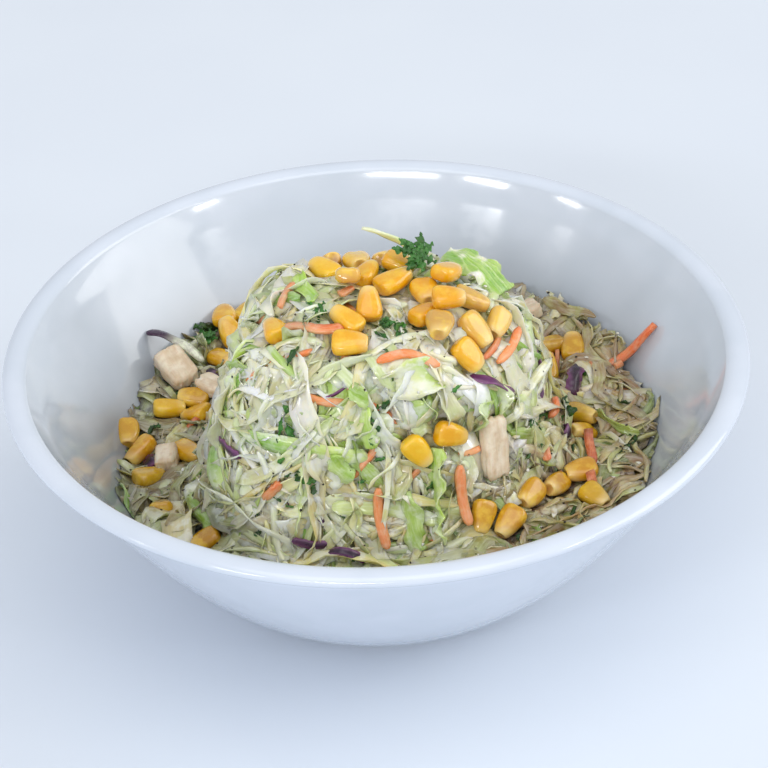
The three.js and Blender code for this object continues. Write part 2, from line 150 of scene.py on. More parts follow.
def tubes(rings: Array, tint: Array, grain: Array) -> Shape:
    """Skins many tubes at once.

    Ring point j of station i joins ring point j + 1 and station i + 1 by a four-sided face. Each end is
    closed by a ladder of faces from the ring's first pair of points to its middle pair.

    Args:
        rings: tube, station, ring point and axis; the ring runs anticlockwise about the tube's direction.
        tint: linear colours of the same layout.
        grain: distance along, distance across and a number for the tube, of the same layout.

    Returns:
        The joined tubes.
    """
    count, stations, around, _ = rings.shape
    index = np.arange(count * stations * around).reshape(count, stations, around)
    ahead = np.roll(index, -1, axis=2)
    wall = np.stack([index[:, :-1], ahead[:, :-1], ahead[:, 1:], index[:, 1:]], -1).reshape(-1, 4)
    low = np.arange(around // 2 - 1)
    ladder = np.stack([low, low + 1, around - 2 - low, around - 1 - low], -1)
    last = index[:, -1][:, ladder].reshape(-1, 4)
    first = index[:, 0][:, ladder[:, ::-1]].reshape(-1, 4)
    faces = np.concatenate([wall, last, first])
    return Shape(rings.reshape(-1, 3), faces, tint.reshape(-1, 3), grain.reshape(-1, 3))


def section(columns: int, edge: float) -> Array:
    """Gives a flat ring: across from 1 to -1 over the top and back underneath.

    The half thickness is 1 in the middle and falls to edge with the cube of the distance from it.

    Args:
        columns: points on the top, and as many underneath.
        edge: half thickness at both edges.

    Returns:
        Rows of place across and height.
    """
    across = np.linspace(1, -1, columns)
    height = 1 - (1 - edge) * np.abs(across) ** 3
    return np.concatenate([np.stack([across, height], -1), np.stack([across[::-1], -height[::-1]], -1)])


def make_piece(
    name: str, shape: Shape, material: bpy.types.Material, slot: str, *nodes: str
) -> bpy.types.Object:
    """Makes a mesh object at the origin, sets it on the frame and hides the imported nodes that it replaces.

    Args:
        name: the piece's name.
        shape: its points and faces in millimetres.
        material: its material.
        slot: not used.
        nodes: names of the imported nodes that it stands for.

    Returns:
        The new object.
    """
    mesh = bpy.data.meshes.new(name)
    mesh.vertices.add(len(shape.points))
    mesh.vertices.foreach_set("co", (shape.points * MM).astype(np.float32).ravel())
    mesh.loops.add(shape.faces.size)
    mesh.loops.foreach_set("vertex_index", shape.faces.astype(np.int32).ravel())
    mesh.polygons.add(len(shape.faces))
    mesh.polygons.foreach_set("loop_start", np.arange(0, shape.faces.size, 4, dtype=np.int32))
    mesh.polygons.foreach_set("use_smooth", np.ones(len(shape.faces), dtype=bool))
    mesh.update(calc_edges=True)
    tint = mesh.attributes.new("tint", "FLOAT_COLOR", "POINT")
    opaque = np.pad(shape.tint, ((0, 0), (0, 1)), constant_values=1)
    tint.data.foreach_set("color", opaque.astype(np.float32).ravel())
    grain = mesh.attributes.new("grain", "FLOAT_VECTOR", "POINT")
    grain.data.foreach_set("vector", shape.grain.astype(np.float32).ravel())
    mesh.materials.append(material)
    piece = bpy.data.objects.new(name, mesh)
    bpy.context.scene.collection.objects.link(piece)
    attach(piece, BODY)
    if nodes:
        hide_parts(*nodes)
    log.info("%s: %d triangles", name, 2 * len(shape.faces))
    return piece


@dataclass(frozen=True)
class Bowl:
    """The bowl: a wall that flares from a turned foot to a rounded lip."""

    lip_middle: float = 98.4
    lip_height: float = 69.0
    lip_half: tuple[float, float] = (3.4, 2.0)
    wall: float = 4.0
    foot: tuple[float, float] = (41.0, 3.0)
    top: tuple[float, float] = (97.0, 66.2)
    flare: float = 1.5
    recess: float = 2.4
    foot_ring: float = 4.0
    lip_turn: tuple[float, float] = (-118.0, 175.0)
    lip_steps: int = 26
    wall_steps: int = 34
    spokes: int = 224
    # Painted shade on the inside wall near the salad, fading upwards in soft patches
    painted_shade: str = "#B4B3B1"
    painted_shade_heights: tuple[float, float] = (36.0, 56.0)
    painted_shade_fade: float = 0.9
    painted_shade_share: float = 0.8
    painted_shade_patches: float = 0.15
    patch_size: float = 30.0

    def wall_line(self, depth: float, steps: int) -> Array:
        """Gives the wall's line moved inwards by depth.

        Outside, radius grows evenly from the foot's to the top's, and height grows with the place's power
        1.5. Each point then moves by depth along the line's normal.

        Args:
            depth: distance inwards.
            steps: points on the line.

        Returns:
            Rows of radius and height, from the foot up.
        """
        t = np.linspace(0, 1, steps)
        run, rise = self.top[0] - self.foot[0], self.top[1] - self.foot[1]
        slope = rise * self.flare * np.sqrt(t)
        size = np.hypot(run, slope)
        radius = self.foot[0] + run * t - depth * slope / size
        return np.stack([radius, self.foot[1] + rise * t**self.flare + depth * run / size], -1)

    def inner_radius(self, height: Array) -> Array:
        """Gives the inside radius at a height, and no limit above the lip."""
        line = self.wall_line(self.wall, 60)
        radius = np.interp(height, line[:, 1], line[:, 0])
        return np.where(height > self.lip_height, np.inf, radius)

    def inside(self, points: Array, gap: float) -> Array:
        """Draws points that pass the wall back to a gap inside it, straight towards the bowl's axis."""
        radius = np.hypot(points[..., 0], points[..., 1])
        limit = np.maximum(self.inner_radius(points[..., 2]) - gap, 1)
        share = np.minimum(1, limit / np.maximum(radius, 1e-6))
        return points * np.stack([share, share, np.ones_like(share)], -1)

    def profile(self) -> Array:
        """Gives the closed outline as rows of radius and height, from under the floor round to above it.

        The lip is an arc of an ellipse, and the ring that the bowl stands on has both its edges rounded.
        """
        angle = np.radians(np.linspace(*self.lip_turn, self.lip_steps))
        reach, rise = self.lip_half
        lip = np.stack([self.lip_middle + reach * np.cos(angle), self.lip_height + rise * np.sin(angle)], -1)
        inner_foot = self.foot[0] - self.foot_ring
        under = [
            (0.4, self.recess),
            (inner_foot - 1.6, self.recess),
            (inner_foot - 1.1, self.recess - 0.2),
            (inner_foot - 0.2, 0.25),
            (inner_foot + 0.2, 0.0),
            (self.foot[0] - 0.9, 0.0),
            (self.foot[0] - 0.35, 0.18),
            (self.foot[0] - 0.05, 0.7),
            (self.foot[0], 2.5),
        ]
        floor = [(self.foot[0] * share, self.foot[1] + self.wall) for share in (0.8, 0.5, 0.2, 0.01)]
        outside = self.wall_line(0, self.wall_steps)
        inside = self.wall_line(self.wall, self.wall_steps)[::-1]
        return np.concatenate([np.array(under), outside[1:-1], lip, inside[1:], np.array(floor)])

    def build(self, material: bpy.types.Material) -> bpy.types.Object:
        """Turns the outline about the bowl's axis and makes the piece.

        A point of the outline at radius r and height z goes to r cos a, r sin a, z for every angle a. The
        inside is darkened by painted shade, most at the salad's edge and fading upwards.
        """
        line = self.profile()
        angle = full_turn(self.spokes)[::-1]
        radius, height = line[:, None, 0], np.repeat(line[:, None, 1], self.spokes, 1)
        rings = np.stack([radius * np.cos(angle), radius * np.sin(angle), height], -1)[None]
        # Painted shade: the inside wall darkens at the salad's edge and fades upwards, in soft patches
        within = np.abs(line[:, 0] - self.inner_radius(line[:, 1])) < self.wall / 8
        share = within * (1 - self.painted_shade_fade * smooth(line[:, 1], *self.painted_shade_heights))
        patches = self.painted_shade_share + self.painted_shade_patches * ripple(rings, self.patch_size, 2)[..., None]
        share = share[None, :, None, None] * patches
        shape = tubes(rings, 1 - share * (1 - linear(self.painted_shade)), np.zeros_like(rings))
        shape.faces = shape.faces[:, ::-1]
        return make_piece("glazed_bowl", shape, material, "white_glaze", "bowl")


@dataclass(frozen=True)
class Lobe:
    """One wave of the mound's outline: waves round it, share of its radius, and turn."""

    count: int
    share: float
    turn: float


@dataclass(frozen=True)
class Lump:
    """One wave of the heap's surface: height, wave lengths over two pi, and shift."""

    height: float
    across: float
    along: float
    shift: float


@dataclass(frozen=True)
class Heap:
    """The heap's bare surface: a steep mound with a wide crown, on a nearly level bed."""

    bed: float = 36.5
    bed_tilt: tuple[float, float] = (0.048, 0.03)
    corner_rise: float = 3.5
    corner_radius: float = 70.0
    middle: tuple[float, float] = (0.5, -4.0)
    crown_height: float = 90.0
    crown_tilt: float = -0.02
    crown_fall: float = 2.0
    radius: float = 39.0
    shoulder: float = 3.7
    squareness: float = 2.7
    back: float = 1.45
    reach: float = 78.0
    lobes: tuple[Lobe, ...] = (Lobe(2, 0.05, 0.6), Lobe(3, 0.04, 2.3), Lobe(5, 0.03, 1.2))
    lumps: tuple[Lump, ...] = (Lump(1.3, 5.1, 6.3, 0.4), Lump(0.8, 3.2, 2.7, 2.1))

    def share(self, x: Array, y: Array) -> tuple[Array, Array]:
        """Gives the mound's share over places in plan, and how far out each place is.

        With dx and dy from the mound's middle, dy made longer behind it, reach is the root of the sum of
        their powers 2.7. The share is 1 over 1 plus e to the power of reach minus radius over shoulder.
        """
        dx, dy = x - self.middle[0], y - self.middle[1]
        dy = np.where(dy > 0, dy * self.back, dy)
        reach = (np.abs(dx) ** self.squareness + np.abs(dy) ** self.squareness) ** (1 / self.squareness)
        angle = np.arctan2(dy, dx)
        waves = sum(lobe.share * np.sin(lobe.count * angle + lobe.turn) for lobe in self.lobes)
        radius = self.radius * (1 + waves)
        return 1 / (1 + np.exp((reach - radius) / self.shoulder)), reach / radius

    def height(self, x: Array, y: Array) -> Array:
        """Gives the surface's height: the bed, raised to the crown by the mound's share, plus lumps."""
        corner = (2 * x * y) ** 2 / np.maximum(x * x + y * y, 1) / self.corner_radius**2
        bed = self.bed + self.bed_tilt[0] * x + self.bed_tilt[1] * y + self.corner_rise * corner
        share, out = self.share(x, y)
        top = self.crown_height + self.crown_tilt * x - self.crown_fall * out**2
        lumps = sum(
            lump.height * np.sin(x / lump.across + lump.shift) * np.cos(y / lump.along - lump.shift)
            for lump in self.lumps
        )
        return bed + (top - bed) * share + lumps

    def ground(self, plan: Array) -> Array:
        """Gives the surface's points over places in plan, kept inside the bed's reach."""
        far = np.hypot(plan[..., 0], plan[..., 1])
        plan = plan * np.minimum(1, self.reach / np.maximum(far, 1e-6))[..., None]
        return np.concatenate([plan, self.height(plan[..., 0], plan[..., 1])[..., None]], -1)

    def normal(self, plan: Array) -> Array:
        """Gives outward normals from the height's rise over one millimetre each way."""
        x, y = plan[..., 0], plan[..., 1]
        rise_x = self.height(x + 0.5, y) - self.height(x - 0.5, y)
        rise_y = self.height(x, y + 0.5) - self.height(x, y - 0.5)
        return unit(np.stack([-rise_x, -rise_y, np.ones_like(x)], -1))

    def places(self, count: int, reach: float, draw: np.random.Generator) -> Array:
        """Draws places in plan, spread evenly over the slanting surface.

        Of many tries in a square, those past the reach are dropped, and the others are kept as often as their
        patch of slope is larger than its plan, up to five times.
        """
        tries, steepest = 14, 5
        plan = draw.uniform(-reach, reach, (count * tries, 2))
        steep = 1 / self.normal(plan)[:, 2]
        kept = (np.hypot(plan[:, 0], plan[:, 1]) < reach) & (draw.uniform(0, steepest, len(plan)) < steep)
        return plan[kept][:count]


BOWL = Bowl()
HEAP = Heap()


@dataclass(frozen=True)
class PhotoCamera:
    """The camera of the photograph: a long lens that looks down over the rim, a little rolled."""

    focal: float = 3000.0
    distance: float = 807.3
    elevation: float = 34.87
    roll: float = -2.42
    target: tuple[float, float, float] = (2.04, -15.15, 69.0)
    film: float = 36.0
    ray_span: tuple[float, float] = (620.0, 1000.0)
    ray_steps: int = 3801
    near: float = 1.0

    def axes(self) -> Array:
        """Gives the camera's right, up and backward directions as rows."""
        e, r = math.radians(self.elevation), math.radians(self.roll)
        back = np.array([0, -math.cos(e), math.sin(e)])
        right = np.array([1.0, 0, 0])
        up = np.cross(right, -back)
        c, s = math.cos(r), math.sin(r)
        return np.stack([right * c + up * s, up * c - right * s, back])

    def place(self) -> Array:
        """Gives the camera's place: the target, moved back by the distance."""
        return np.array(self.target) + self.axes()[2] * self.distance

    def cast(self, pixels: Array) -> Array:
        """Finds where the heap's surface shows at pixels of the photograph.

        A ray leaves the camera for each pixel, and the first of its even steps that comes near the surface or
        the wall is kept.

        Args:
            pixels: rows of column and row.

        Returns:
            Rows of points on the heap.
        """
        right, up, back = self.axes()
        offset = np.asarray(pixels, float) - PHOTO_SIDE / 2
        way = unit(-back * self.focal + offset[:, :1] * right - offset[:, 1:] * up)
        step = np.linspace(*self.ray_span, self.ray_steps)
        path = self.place() + way[:, None] * step[:, None]
        height = HEAP.height(path[..., 0], path[..., 1])
        outside = np.hypot(path[..., 0], path[..., 1]) > BOWL.inner_radius(path[..., 2]) - self.near
        under_lip = path[..., 2] < BOWL.lip_height - BOWL.lip_half[1]
        hit = (path[..., 2] < height + self.near) | (outside & under_lip)
        return path[np.arange(len(path)), np.argmax(hit, axis=1)]

    def build(self) -> None:
        """Adds the camera and makes it the scene's."""
        data = bpy.data.cameras.new("photo_camera")
        data.sensor_width = self.film
        data.lens = self.focal / PHOTO_SIDE * self.film
        data.clip_start, data.clip_end = 0.01, 20
        camera = bpy.data.objects.new("photo_camera", data)
        bpy.context.scene.collection.objects.link(camera)
        turn = Matrix(self.axes().T.tolist()).to_4x4()
        camera.matrix_world = Matrix.Translation(Vector(self.place() * MM)) @ turn
        bpy.context.scene.camera = camera


CAMERA = PhotoCamera()


@dataclass
class Pose:
    """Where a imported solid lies: its middle, its three axes as rows, and its half sizes along them."""

    middle: Array
    axes: Array
    half: Array


def read_pose(node: str) -> Pose:
    """Reads a topping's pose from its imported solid.

    The axes are the principal directions of the solid's points, the longest first. The first one points to
    the side where more points lie, which is a kernel's crown, and the last one points upwards.

    Args:
        node: the solid's node name.

    Returns:
        Its pose in millimetres.
    """
    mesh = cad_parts[node].data
    points = np.empty(len(mesh.vertices) * 3, dtype=np.float32)
    mesh.vertices.foreach_get("co", points)
    points = np.unique(np.round(points.reshape(-1, 3).astype(float) / MM, 3), axis=0)
    mean = points.mean(0)
    axes = np.linalg.svd(points - mean, full_matrices=False)[2]
    if axes[2, 2] < 0:
        axes[2] *= -1
    local = (points - mean) @ axes.T
    low, high = local.min(0), local.max(0)
    middle = mean + (low + high) / 2 @ axes
    if (low + high)[0] > 0:
        axes[0] *= -1
    axes[1] = np.cross(axes[2], axes[0])
    return Pose(middle, axes, (high - low) / 2)


@dataclass
class Obstacles:
    """The toppings as short rods that shreds stay under: both ends of each rod, and its radius."""

    ends: list[tuple[Array, Array]] = field(default_factory=list)
    radii: list[float] = field(default_factory=list)
    overlap: float = 0.6

    def add(self, pose: Pose) -> None:
        """Adds a topping: a rod along its longest axis, as thick as the topping is wide."""
        reach = max(pose.half[0] - pose.half[1], 0.1)
        self.ends.append((pose.middle - pose.axes[0] * reach, pose.middle + pose.axes[0] * reach))
        self.radii.append(float(pose.half[1]))

    def room(self, points: Array, berth: float) -> Array:
        """Gives the room at points, 0 under a topping and 1 from a berth beside it."""
        room = np.ones(points.shape[:-1])
        for (start, end), radius in zip(self.ends, self.radii):
            rod = end - start
            share = np.clip(((points - start) @ rod) / (rod @ rod), 0, 1)
            distance = np.linalg.norm(points - start - share[..., None] * rod, axis=-1)
            room = np.minimum(room, smooth(distance, radius - self.overlap, radius + berth))
        return room


TOPPINGS = Obstacles()


class Tree:
    """A material's node tree, built by one call for each node."""

    def __init__(self, name: str) -> None:
        """Makes an empty material of that name."""
        self.material = bpy.data.materials.new(name)
        self.material.use_nodes = True
        self.nodes = self.material.node_tree.nodes
        self.nodes.clear()

    def add(self, kind: str, props: dict | None = None, **inputs: object) -> bpy.types.Node:
        """Adds a node, sets its properties, and sets or links its sockets.

        Args:
            kind: the node's type, without "ShaderNode".
            props: its properties by name.
            inputs: socket values or output sockets, by the socket's name with spaces as underscores; a name
                such as i0 means the socket of that number.

        Returns:
            The new node.
        """
        node = self.nodes.new("ShaderNode" + kind)
        for key, value in (props or {}).items():
            setattr(node, key, value)
        for key, value in inputs.items():
            numbered = key[0] == "i" and key[1:].isdigit()
            socket = node.inputs[int(key[1:])] if numbered else node.inputs[key.replace("_", " ")]
            if isinstance(value, bpy.types.NodeSocket):
                self.material.node_tree.links.new(value, socket)
            else:
                socket.default_value = value
        return node

    def place(self) -> bpy.types.NodeSocket:
        """Gives a surface point's place on the object, in millimetres."""
        place = self.add("TexCoord").outputs["Object"]
        return self.add("VectorMath", {"operation": "SCALE"}, i0=place, Scale=1 / MM).outputs[0]

    def noise(self, vector: bpy.types.NodeSocket, size: float, detail: float) -> bpy.types.NodeSocket:
        """Adds noise with features of a size in the vector's own unit."""
        node = self.add("TexNoise", Vector=vector, Scale=1 / size, Detail=detail, Roughness=0.6)
        return node.outputs["Fac"]

    def blend(self, share: object, first: object, second: object) -> bpy.types.NodeSocket:
        """Mixes two colours by a share."""
        return self.add("Mix", {"data_type": "RGBA"}, i0=share, i6=first, i7=second).outputs[2]

    def ramp(self, value: object, span: tuple[float, float], to: tuple[float, float]) -> bpy.types.NodeSocket:
        """Maps a value smoothly from one span to another."""
        node = self.add(
            "MapRange",
            {"interpolation_type": "SMOOTHSTEP"},
            Value=value,
            From_Min=span[0],
            From_Max=span[1],
            To_Min=to[0],
            To_Max=to[1],
        )
        return node.outputs["Result"]

    def finish(self, shader: bpy.types.Node) -> bpy.types.Material:
        """Links the shader to the output and gives the material."""
        self.add("OutputMaterial", Surface=shader.outputs[0])
        return self.material


# Where noise turns to mottling and to veins, and the lengths of a tint that count as dark and as bright
MOTTLE_SPAN = (0.42, 0.68)
VEIN_SPAN = (0.35, 0.7)
DARK_TO_BRIGHT = (0.3, 0.95)
# Share of the film that dark tints keep
DARK_FILM = 0.15
# Fibres are about eight times as long as wide, and strips lie so far apart in the noise that none looks alike
FIBRE_STRETCH = 0.12
STRIP_APART = 7.0
# Depth of fibres and pits in millimetres
FIBRE_DEPTH = 0.25
PIT_DEPTH = 0.3


@dataclass(frozen=True)
class FoodFinish:
    """How a moist food looks: its own mottling, a film in patches, fibres along its grain, and gloss.

    Lengths are millimetres. The base colour comes from the mesh's tint. Roughness is given bare and under the
    film, which is thin over dark tints, so that they stay dark.
    """

    name: str
    mottle: str
    mottle_share: float
    mottle_size: float
    film: str
    film_share: float
    film_size: float
    film_cut: tuple[float, float]
    roughness: tuple[float, float]
    coat: float
    coat_roughness: float
    depth: tuple[float, float, float]
    scatter: float
    fibre: float
    fibre_width: float
    pitting: float
    pitting_size: float
    veins: float = 0.2
    ior: float = 1.4

    def material(self) -> bpy.types.Material:
        """Builds the material from the finish's values."""
        tree = Tree(self.name)
        place = tree.place()
        grain = tree.add("Attribute", {"attribute_name": "grain"}).outputs["Vector"]
        tint = tree.add("Attribute", {"attribute_name": "tint"}).outputs["Color"]
        mottled = tree.ramp(tree.noise(place, self.mottle_size, 4), MOTTLE_SPAN, (0.0, self.mottle_share))
        colour = tree.blend(mottled, tint, rgba(self.mottle))
        stretch = (FIBRE_STRETCH / self.fibre_width, 1 / self.fibre_width, STRIP_APART)
        grain = tree.add("VectorMath", {"operation": "MULTIPLY"}, i0=grain, i1=stretch).outputs[0]
        fibre = tree.noise(grain, 1.0, 2)
        colour = tree.blend(tree.ramp(fibre, VEIN_SPAN, (0.0, self.veins)), colour, rgba(self.film))
        film = tree.ramp(tree.noise(place, self.film_size, 3), self.film_cut, (0.0, 1.0))
        bright = tree.add("VectorMath", {"operation": "LENGTH"}, i0=tint).outputs["Value"]
        share = tree.ramp(bright, DARK_TO_BRIGHT, (DARK_FILM * self.film_share, self.film_share))
        share = tree.add("Math", {"operation": "MULTIPLY"}, i0=film, i1=share).outputs[0]
        colour = tree.blend(share, colour, rgba(self.film))
        rough = tree.ramp(film, (0.0, 1.0), self.roughness)
        pits = tree.noise(place, self.pitting_size, 2)
        low = tree.add("Bump", Strength=self.fibre, Distance=FIBRE_DEPTH * MM, Height=fibre).outputs[0]
        bump = tree.add("Bump", Strength=self.pitting, Distance=PIT_DEPTH * MM, Height=pits, Normal=low)
        shader = tree.add(
            "BsdfPrincipled",
            Base_Color=colour,
            Roughness=rough,
            Normal=bump.outputs[0],
            IOR=self.ior,
            Coat_Weight=self.coat,
            Coat_Roughness=self.coat_roughness,
            Subsurface_Weight=self.scatter,
            Subsurface_Radius=self.depth,
            Subsurface_Scale=MM,
        )
        return tree.finish(shader)


# Raw white cabbage, cut thin and dressed: a moist, half clear leaf with fine veins and milky patches
CABBAGE = FoodFinish(
    "dressed_white_cabbage",
    mottle="#D2E494",
    mottle_share=0.35,
    mottle_size=5.0,
    film="#F8FBEE",
    film_share=0.5,
    film_size=4.5,
    film_cut=(0.48, 0.6),
    roughness=(0.3, 0.16),
    coat=0.8,
    coat_roughness=0.08,
    depth=(2.4, 2.4, 1.0),
    scatter=0.4,
    fibre=0.24,
    fibre_width=0.7,
    pitting=0.14,
    pitting_size=1.3,
)
# The heap's inside between shreds: the same cabbage, packed and soaked, darker for want of light
PACKED = FoodFinish(
    "packed_cabbage",
    mottle="#7A7E48",
    mottle_share=0.3,
    mottle_size=3.0,
    film="#E9E6C8",
    film_share=0.3,
    film_size=3.2,
    film_cut=(0.5, 0.66),
    roughness=(0.5, 0.3),
    coat=0.3,
    coat_roughness=0.2,
    depth=(1.5, 1.4, 0.8),
    scatter=0.3,
    fibre=0.3,
    fibre_width=1.0,
    pitting=0.9,
    pitting_size=1.6,
)
# Raw carrot cut in sticks: dense orange flesh with a paler core line and a thin milky film
CARROT = FoodFinish(
    "carrot_flesh",
    mottle="#F2A06A",
    mottle_share=0.45,
    mottle_size=2.2,
    film="#F6DCC4",
    film_share=0.3,
    film_size=3.0,
    film_cut=(0.5, 0.66),
    roughness=(0.34, 0.22),
    coat=0.5,
    coat_roughness=0.14,
    depth=(3.0, 1.2, 0.5),
    scatter=0.35,
    fibre=0.45,
    fibre_width=0.35,
    pitting=0.25,
    pitting_size=0.6,
    veins=0.16,
)
# Red cabbage: violet skin on white flesh, crisp and wet
RED_CABBAGE = FoodFinish(
    "red_cabbage",
    mottle="#4A1A4C",
    mottle_share=0.4,
    mottle_size=2.0,
    film="#A98CA8",
    film_share=0.05,
    film_size=3.0,
    film_cut=(0.52, 0.66),
    roughness=(0.32, 0.2),
    coat=0.5,
    coat_roughness=0.1,
    depth=(1.0, 0.5, 1.0),
    scatter=0.2,
    fibre=0.4,
    fibre_width=0.5,
    pitting=0.2,
    pitting_size=0.8,
    veins=0.05,
)
# Cooked sweetcorn: a tight wet skin over soft, slightly clear flesh
KERNEL_SKIN = FoodFinish(
    "sweetcorn_skin",
    mottle="#F6D040",
    mottle_share=0.5,
    mottle_size=3.4,
    film="#F8E2A0",
    film_share=0.08,
    film_size=3.2,
    film_cut=(0.56, 0.72),
    roughness=(0.26, 0.2),
    coat=1.0,
    coat_roughness=0.04,
    depth=(2.0, 1.4, 0.2),
    scatter=0.25,
    fibre=0.0,
    fibre_width=0.8,
    pitting=0.16,
    pitting_size=1.4,
    veins=0.0,
)
# Cooked chicken breast, diced: pale close fibres, matt where torn and moist on the cut faces
MEAT = FoodFinish(
    "cooked_chicken",
    mottle="#C9AE90",
    mottle_share=0.5,
    mottle_size=2.4,
    film="#EDE2CE",
    film_share=0.3,
    film_size=3.4,
    film_cut=(0.48, 0.62),
    roughness=(0.46, 0.3),
    coat=0.25,
    coat_roughness=0.25,
    depth=(2.4, 1.4, 0.9),
    scatter=0.35,
    fibre=0.6,
    fibre_width=0.5,
    pitting=0.4,
    pitting_size=0.7,
)
# Fresh curled parsley: a thin dark leaf with a soft waxy gloss
HERB = FoodFinish(
    "parsley_leaf",
    mottle="#2E6B1E",
    mottle_share=0.5,
    mottle_size=1.6,
    film="#9DBE74",
    film_share=0.14,
    film_size=1.8,
    film_cut=(0.54, 0.68),
    roughness=(0.42, 0.3),
    coat=0.3,
    coat_roughness=0.2,
    depth=(0.5, 0.9, 0.2),
    scatter=0.2,
    fibre=0.5,
    fibre_width=0.35,
    pitting=0.4,
    pitting_size=0.6,
    veins=0.1,
)
# Outer cabbage leaf: waxy mid green with pale veins, and dressing pooled in its folds
OUTER_LEAF = FoodFinish(
    "green_cabbage_leaf",
    mottle="#B2D060",
    mottle_share=0.5,
    mottle_size=3.2,
    film="#F0F2E2",
    film_share=0.4,
    film_size=5.0,
    film_cut=(0.56, 0.64),
    roughness=(0.34, 0.2),
    coat=0.5,
    coat_roughness=0.12,
    depth=(1.6, 2.0, 0.6),
    scatter=0.35,
    fibre=0.6,
    fibre_width=0.9,
    pitting=0.5,
    pitting_size=1.4,
)
# Cracked black pepper: matt dark flakes
PEPPER = FoodFinish(
    "cracked_pepper",
    mottle="#5A4A3A",
    mottle_share=0.4,
    mottle_size=0.5,
    film="#6B5A48",
    film_share=0.2,
    film_size=0.6,
    film_cut=(0.5, 0.65),
    roughness=(0.6, 0.45),
    coat=0.2,
    coat_roughness=0.3,
    depth=(0.2, 0.2, 0.2),
    scatter=0.0,
    fibre=0.2,
    fibre_width=0.3,
    pitting=0.5,
    pitting_size=0.3,
    veins=0.0,
)
# Mayonnaise dressing: white with a warm cast, thick and glossy
DRESSING = FoodFinish(
    "mayonnaise_dressing",
    mottle="#F2EEDC",
    mottle_share=0.3,
    mottle_size=2.0,
    film="#FBFAF4",
    film_share=0.4,
    film_size=2.0,
    film_cut=(0.45, 0.6),
    roughness=(0.25, 0.18),
    coat=0.6,
    coat_roughness=0.08,
    depth=(1.5, 1.4, 1.1),
    scatter=0.5,
    fibre=0.0,
    fibre_width=1.0,
    pitting=0.1,
    pitting_size=1.0,
    veins=0.0,
)


@dataclass(frozen=True)
class Glaze:
    """Fired white glaze on earthenware: glassy, faintly wavy, and darkened by painted shade where tinted.

    The wave is the slow unevenness of a poured glaze and the peel its fine orange skin, each with a size, a
    strength and a depth in millimetres.
    """

    name: str = "white_glaze"
    colour: str = "#D5DDEA"
    second: str = "#CED7E4"
    wave: tuple[float, float, float] = (26.0, 0.05, 0.6)
    peel: tuple[float, float, float] = (3.2, 0.02, 0.1)
    roughness: tuple[float, float] = (0.1, 0.17)
    ior: float = 1.5
    coat: float = 0.5
    coat_roughness: float = 0.06

    def material(self) -> bpy.types.Material:
        """Builds the glaze: two near whites, a roughness that follows the peel, and both kinds of bump."""
        tree = Tree(self.name)
        place = tree.place()
        wave_size, wave_strength, wave_depth = self.wave
        peel_size, peel_strength, peel_depth = self.peel
        cloud = tree.noise(place, wave_size, 2)
        colour = tree.blend(tree.ramp(cloud, (0.35, 0.65), (0.0, 1.0)), rgba(self.colour), rgba(self.second))
        # The tint carries the painted shade on the inside wall near the salad
        tint = tree.add("Attribute", {"attribute_name": "tint"}).outputs["Color"]
        colour = tree.add("VectorMath", {"operation": "MULTIPLY"}, i0=colour, i1=tint).outputs[0]
        peel = tree.noise(place, peel_size, 2)
        low = tree.add("Bump", Strength=wave_strength, Distance=wave_depth * MM, Height=cloud).outputs[0]
        bump = tree.add("Bump", Strength=peel_strength, Distance=peel_depth * MM, Height=peel, Normal=low)
        shader = tree.add(
            "BsdfPrincipled",
            Base_Color=colour,
            Roughness=tree.ramp(peel, (0.3, 0.7), self.roughness),
            Normal=bump.outputs[0],
            IOR=self.ior,
            Coat_Weight=self.coat,
            Coat_Roughness=self.coat_roughness,
        )
        return tree.finish(shader)


@dataclass(frozen=True)
class Floor:
    """A plain pale floor with a satin lacquer, faintly clouded."""

    name: str = "pale_floor"
    colour: str = "#DCE3ED"
    second: str = "#DFE6EF"
    cloud_size: float = 1000 / 6
    roughness: float = 0.42
    ior: float = 1.45

    def material(self) -> bpy.types.Material:
        """Builds the floor's material: two close colours in wide clouds, and a satin roughness."""
        tree = Tree(self.name)
        cloud = tree.ramp(tree.noise(tree.place(), self.cloud_size, 3), (0.3, 0.7), (0.0, 1.0))
        colour = tree.blend(cloud, rgba(self.colour), rgba(self.second))
        shader = tree.add("BsdfPrincipled", Base_Color=colour, Roughness=self.roughness, IOR=self.ior)
        return tree.finish(shader)


class Outline(Enum):
    """A strip's outline along its length."""

    SHRED = "blunt ends"
    FLAKE = "round ends"
    LEAFLET = "toothed lobes"
    POINTED = "one pointed end"

    def width(self, along: Array) -> Array:
        """Gives the share of full width at places from 0 to 1 along a strip."""
        out = np.abs(2 * along - 1)
        if self is Outline.SHRED:
            return np.sqrt(np.clip(1 - 0.88 * out**8, 0.02, 1))
        if self is Outline.FLAKE:
            return np.sqrt(np.clip(1 - 0.98 * out**2.4, 0.02, 1))
        if self is Outline.POINTED:
            return np.clip(1.15 - along**1.6, 0.12, 1)
        lobes = 0.2 + 0.8 * np.abs(np.sin(3.5 * math.pi * along))
        return np.clip(np.sin(math.pi * np.clip(along, 0.03, 0.97)) ** 0.6 * lobes, 0.08, 1)


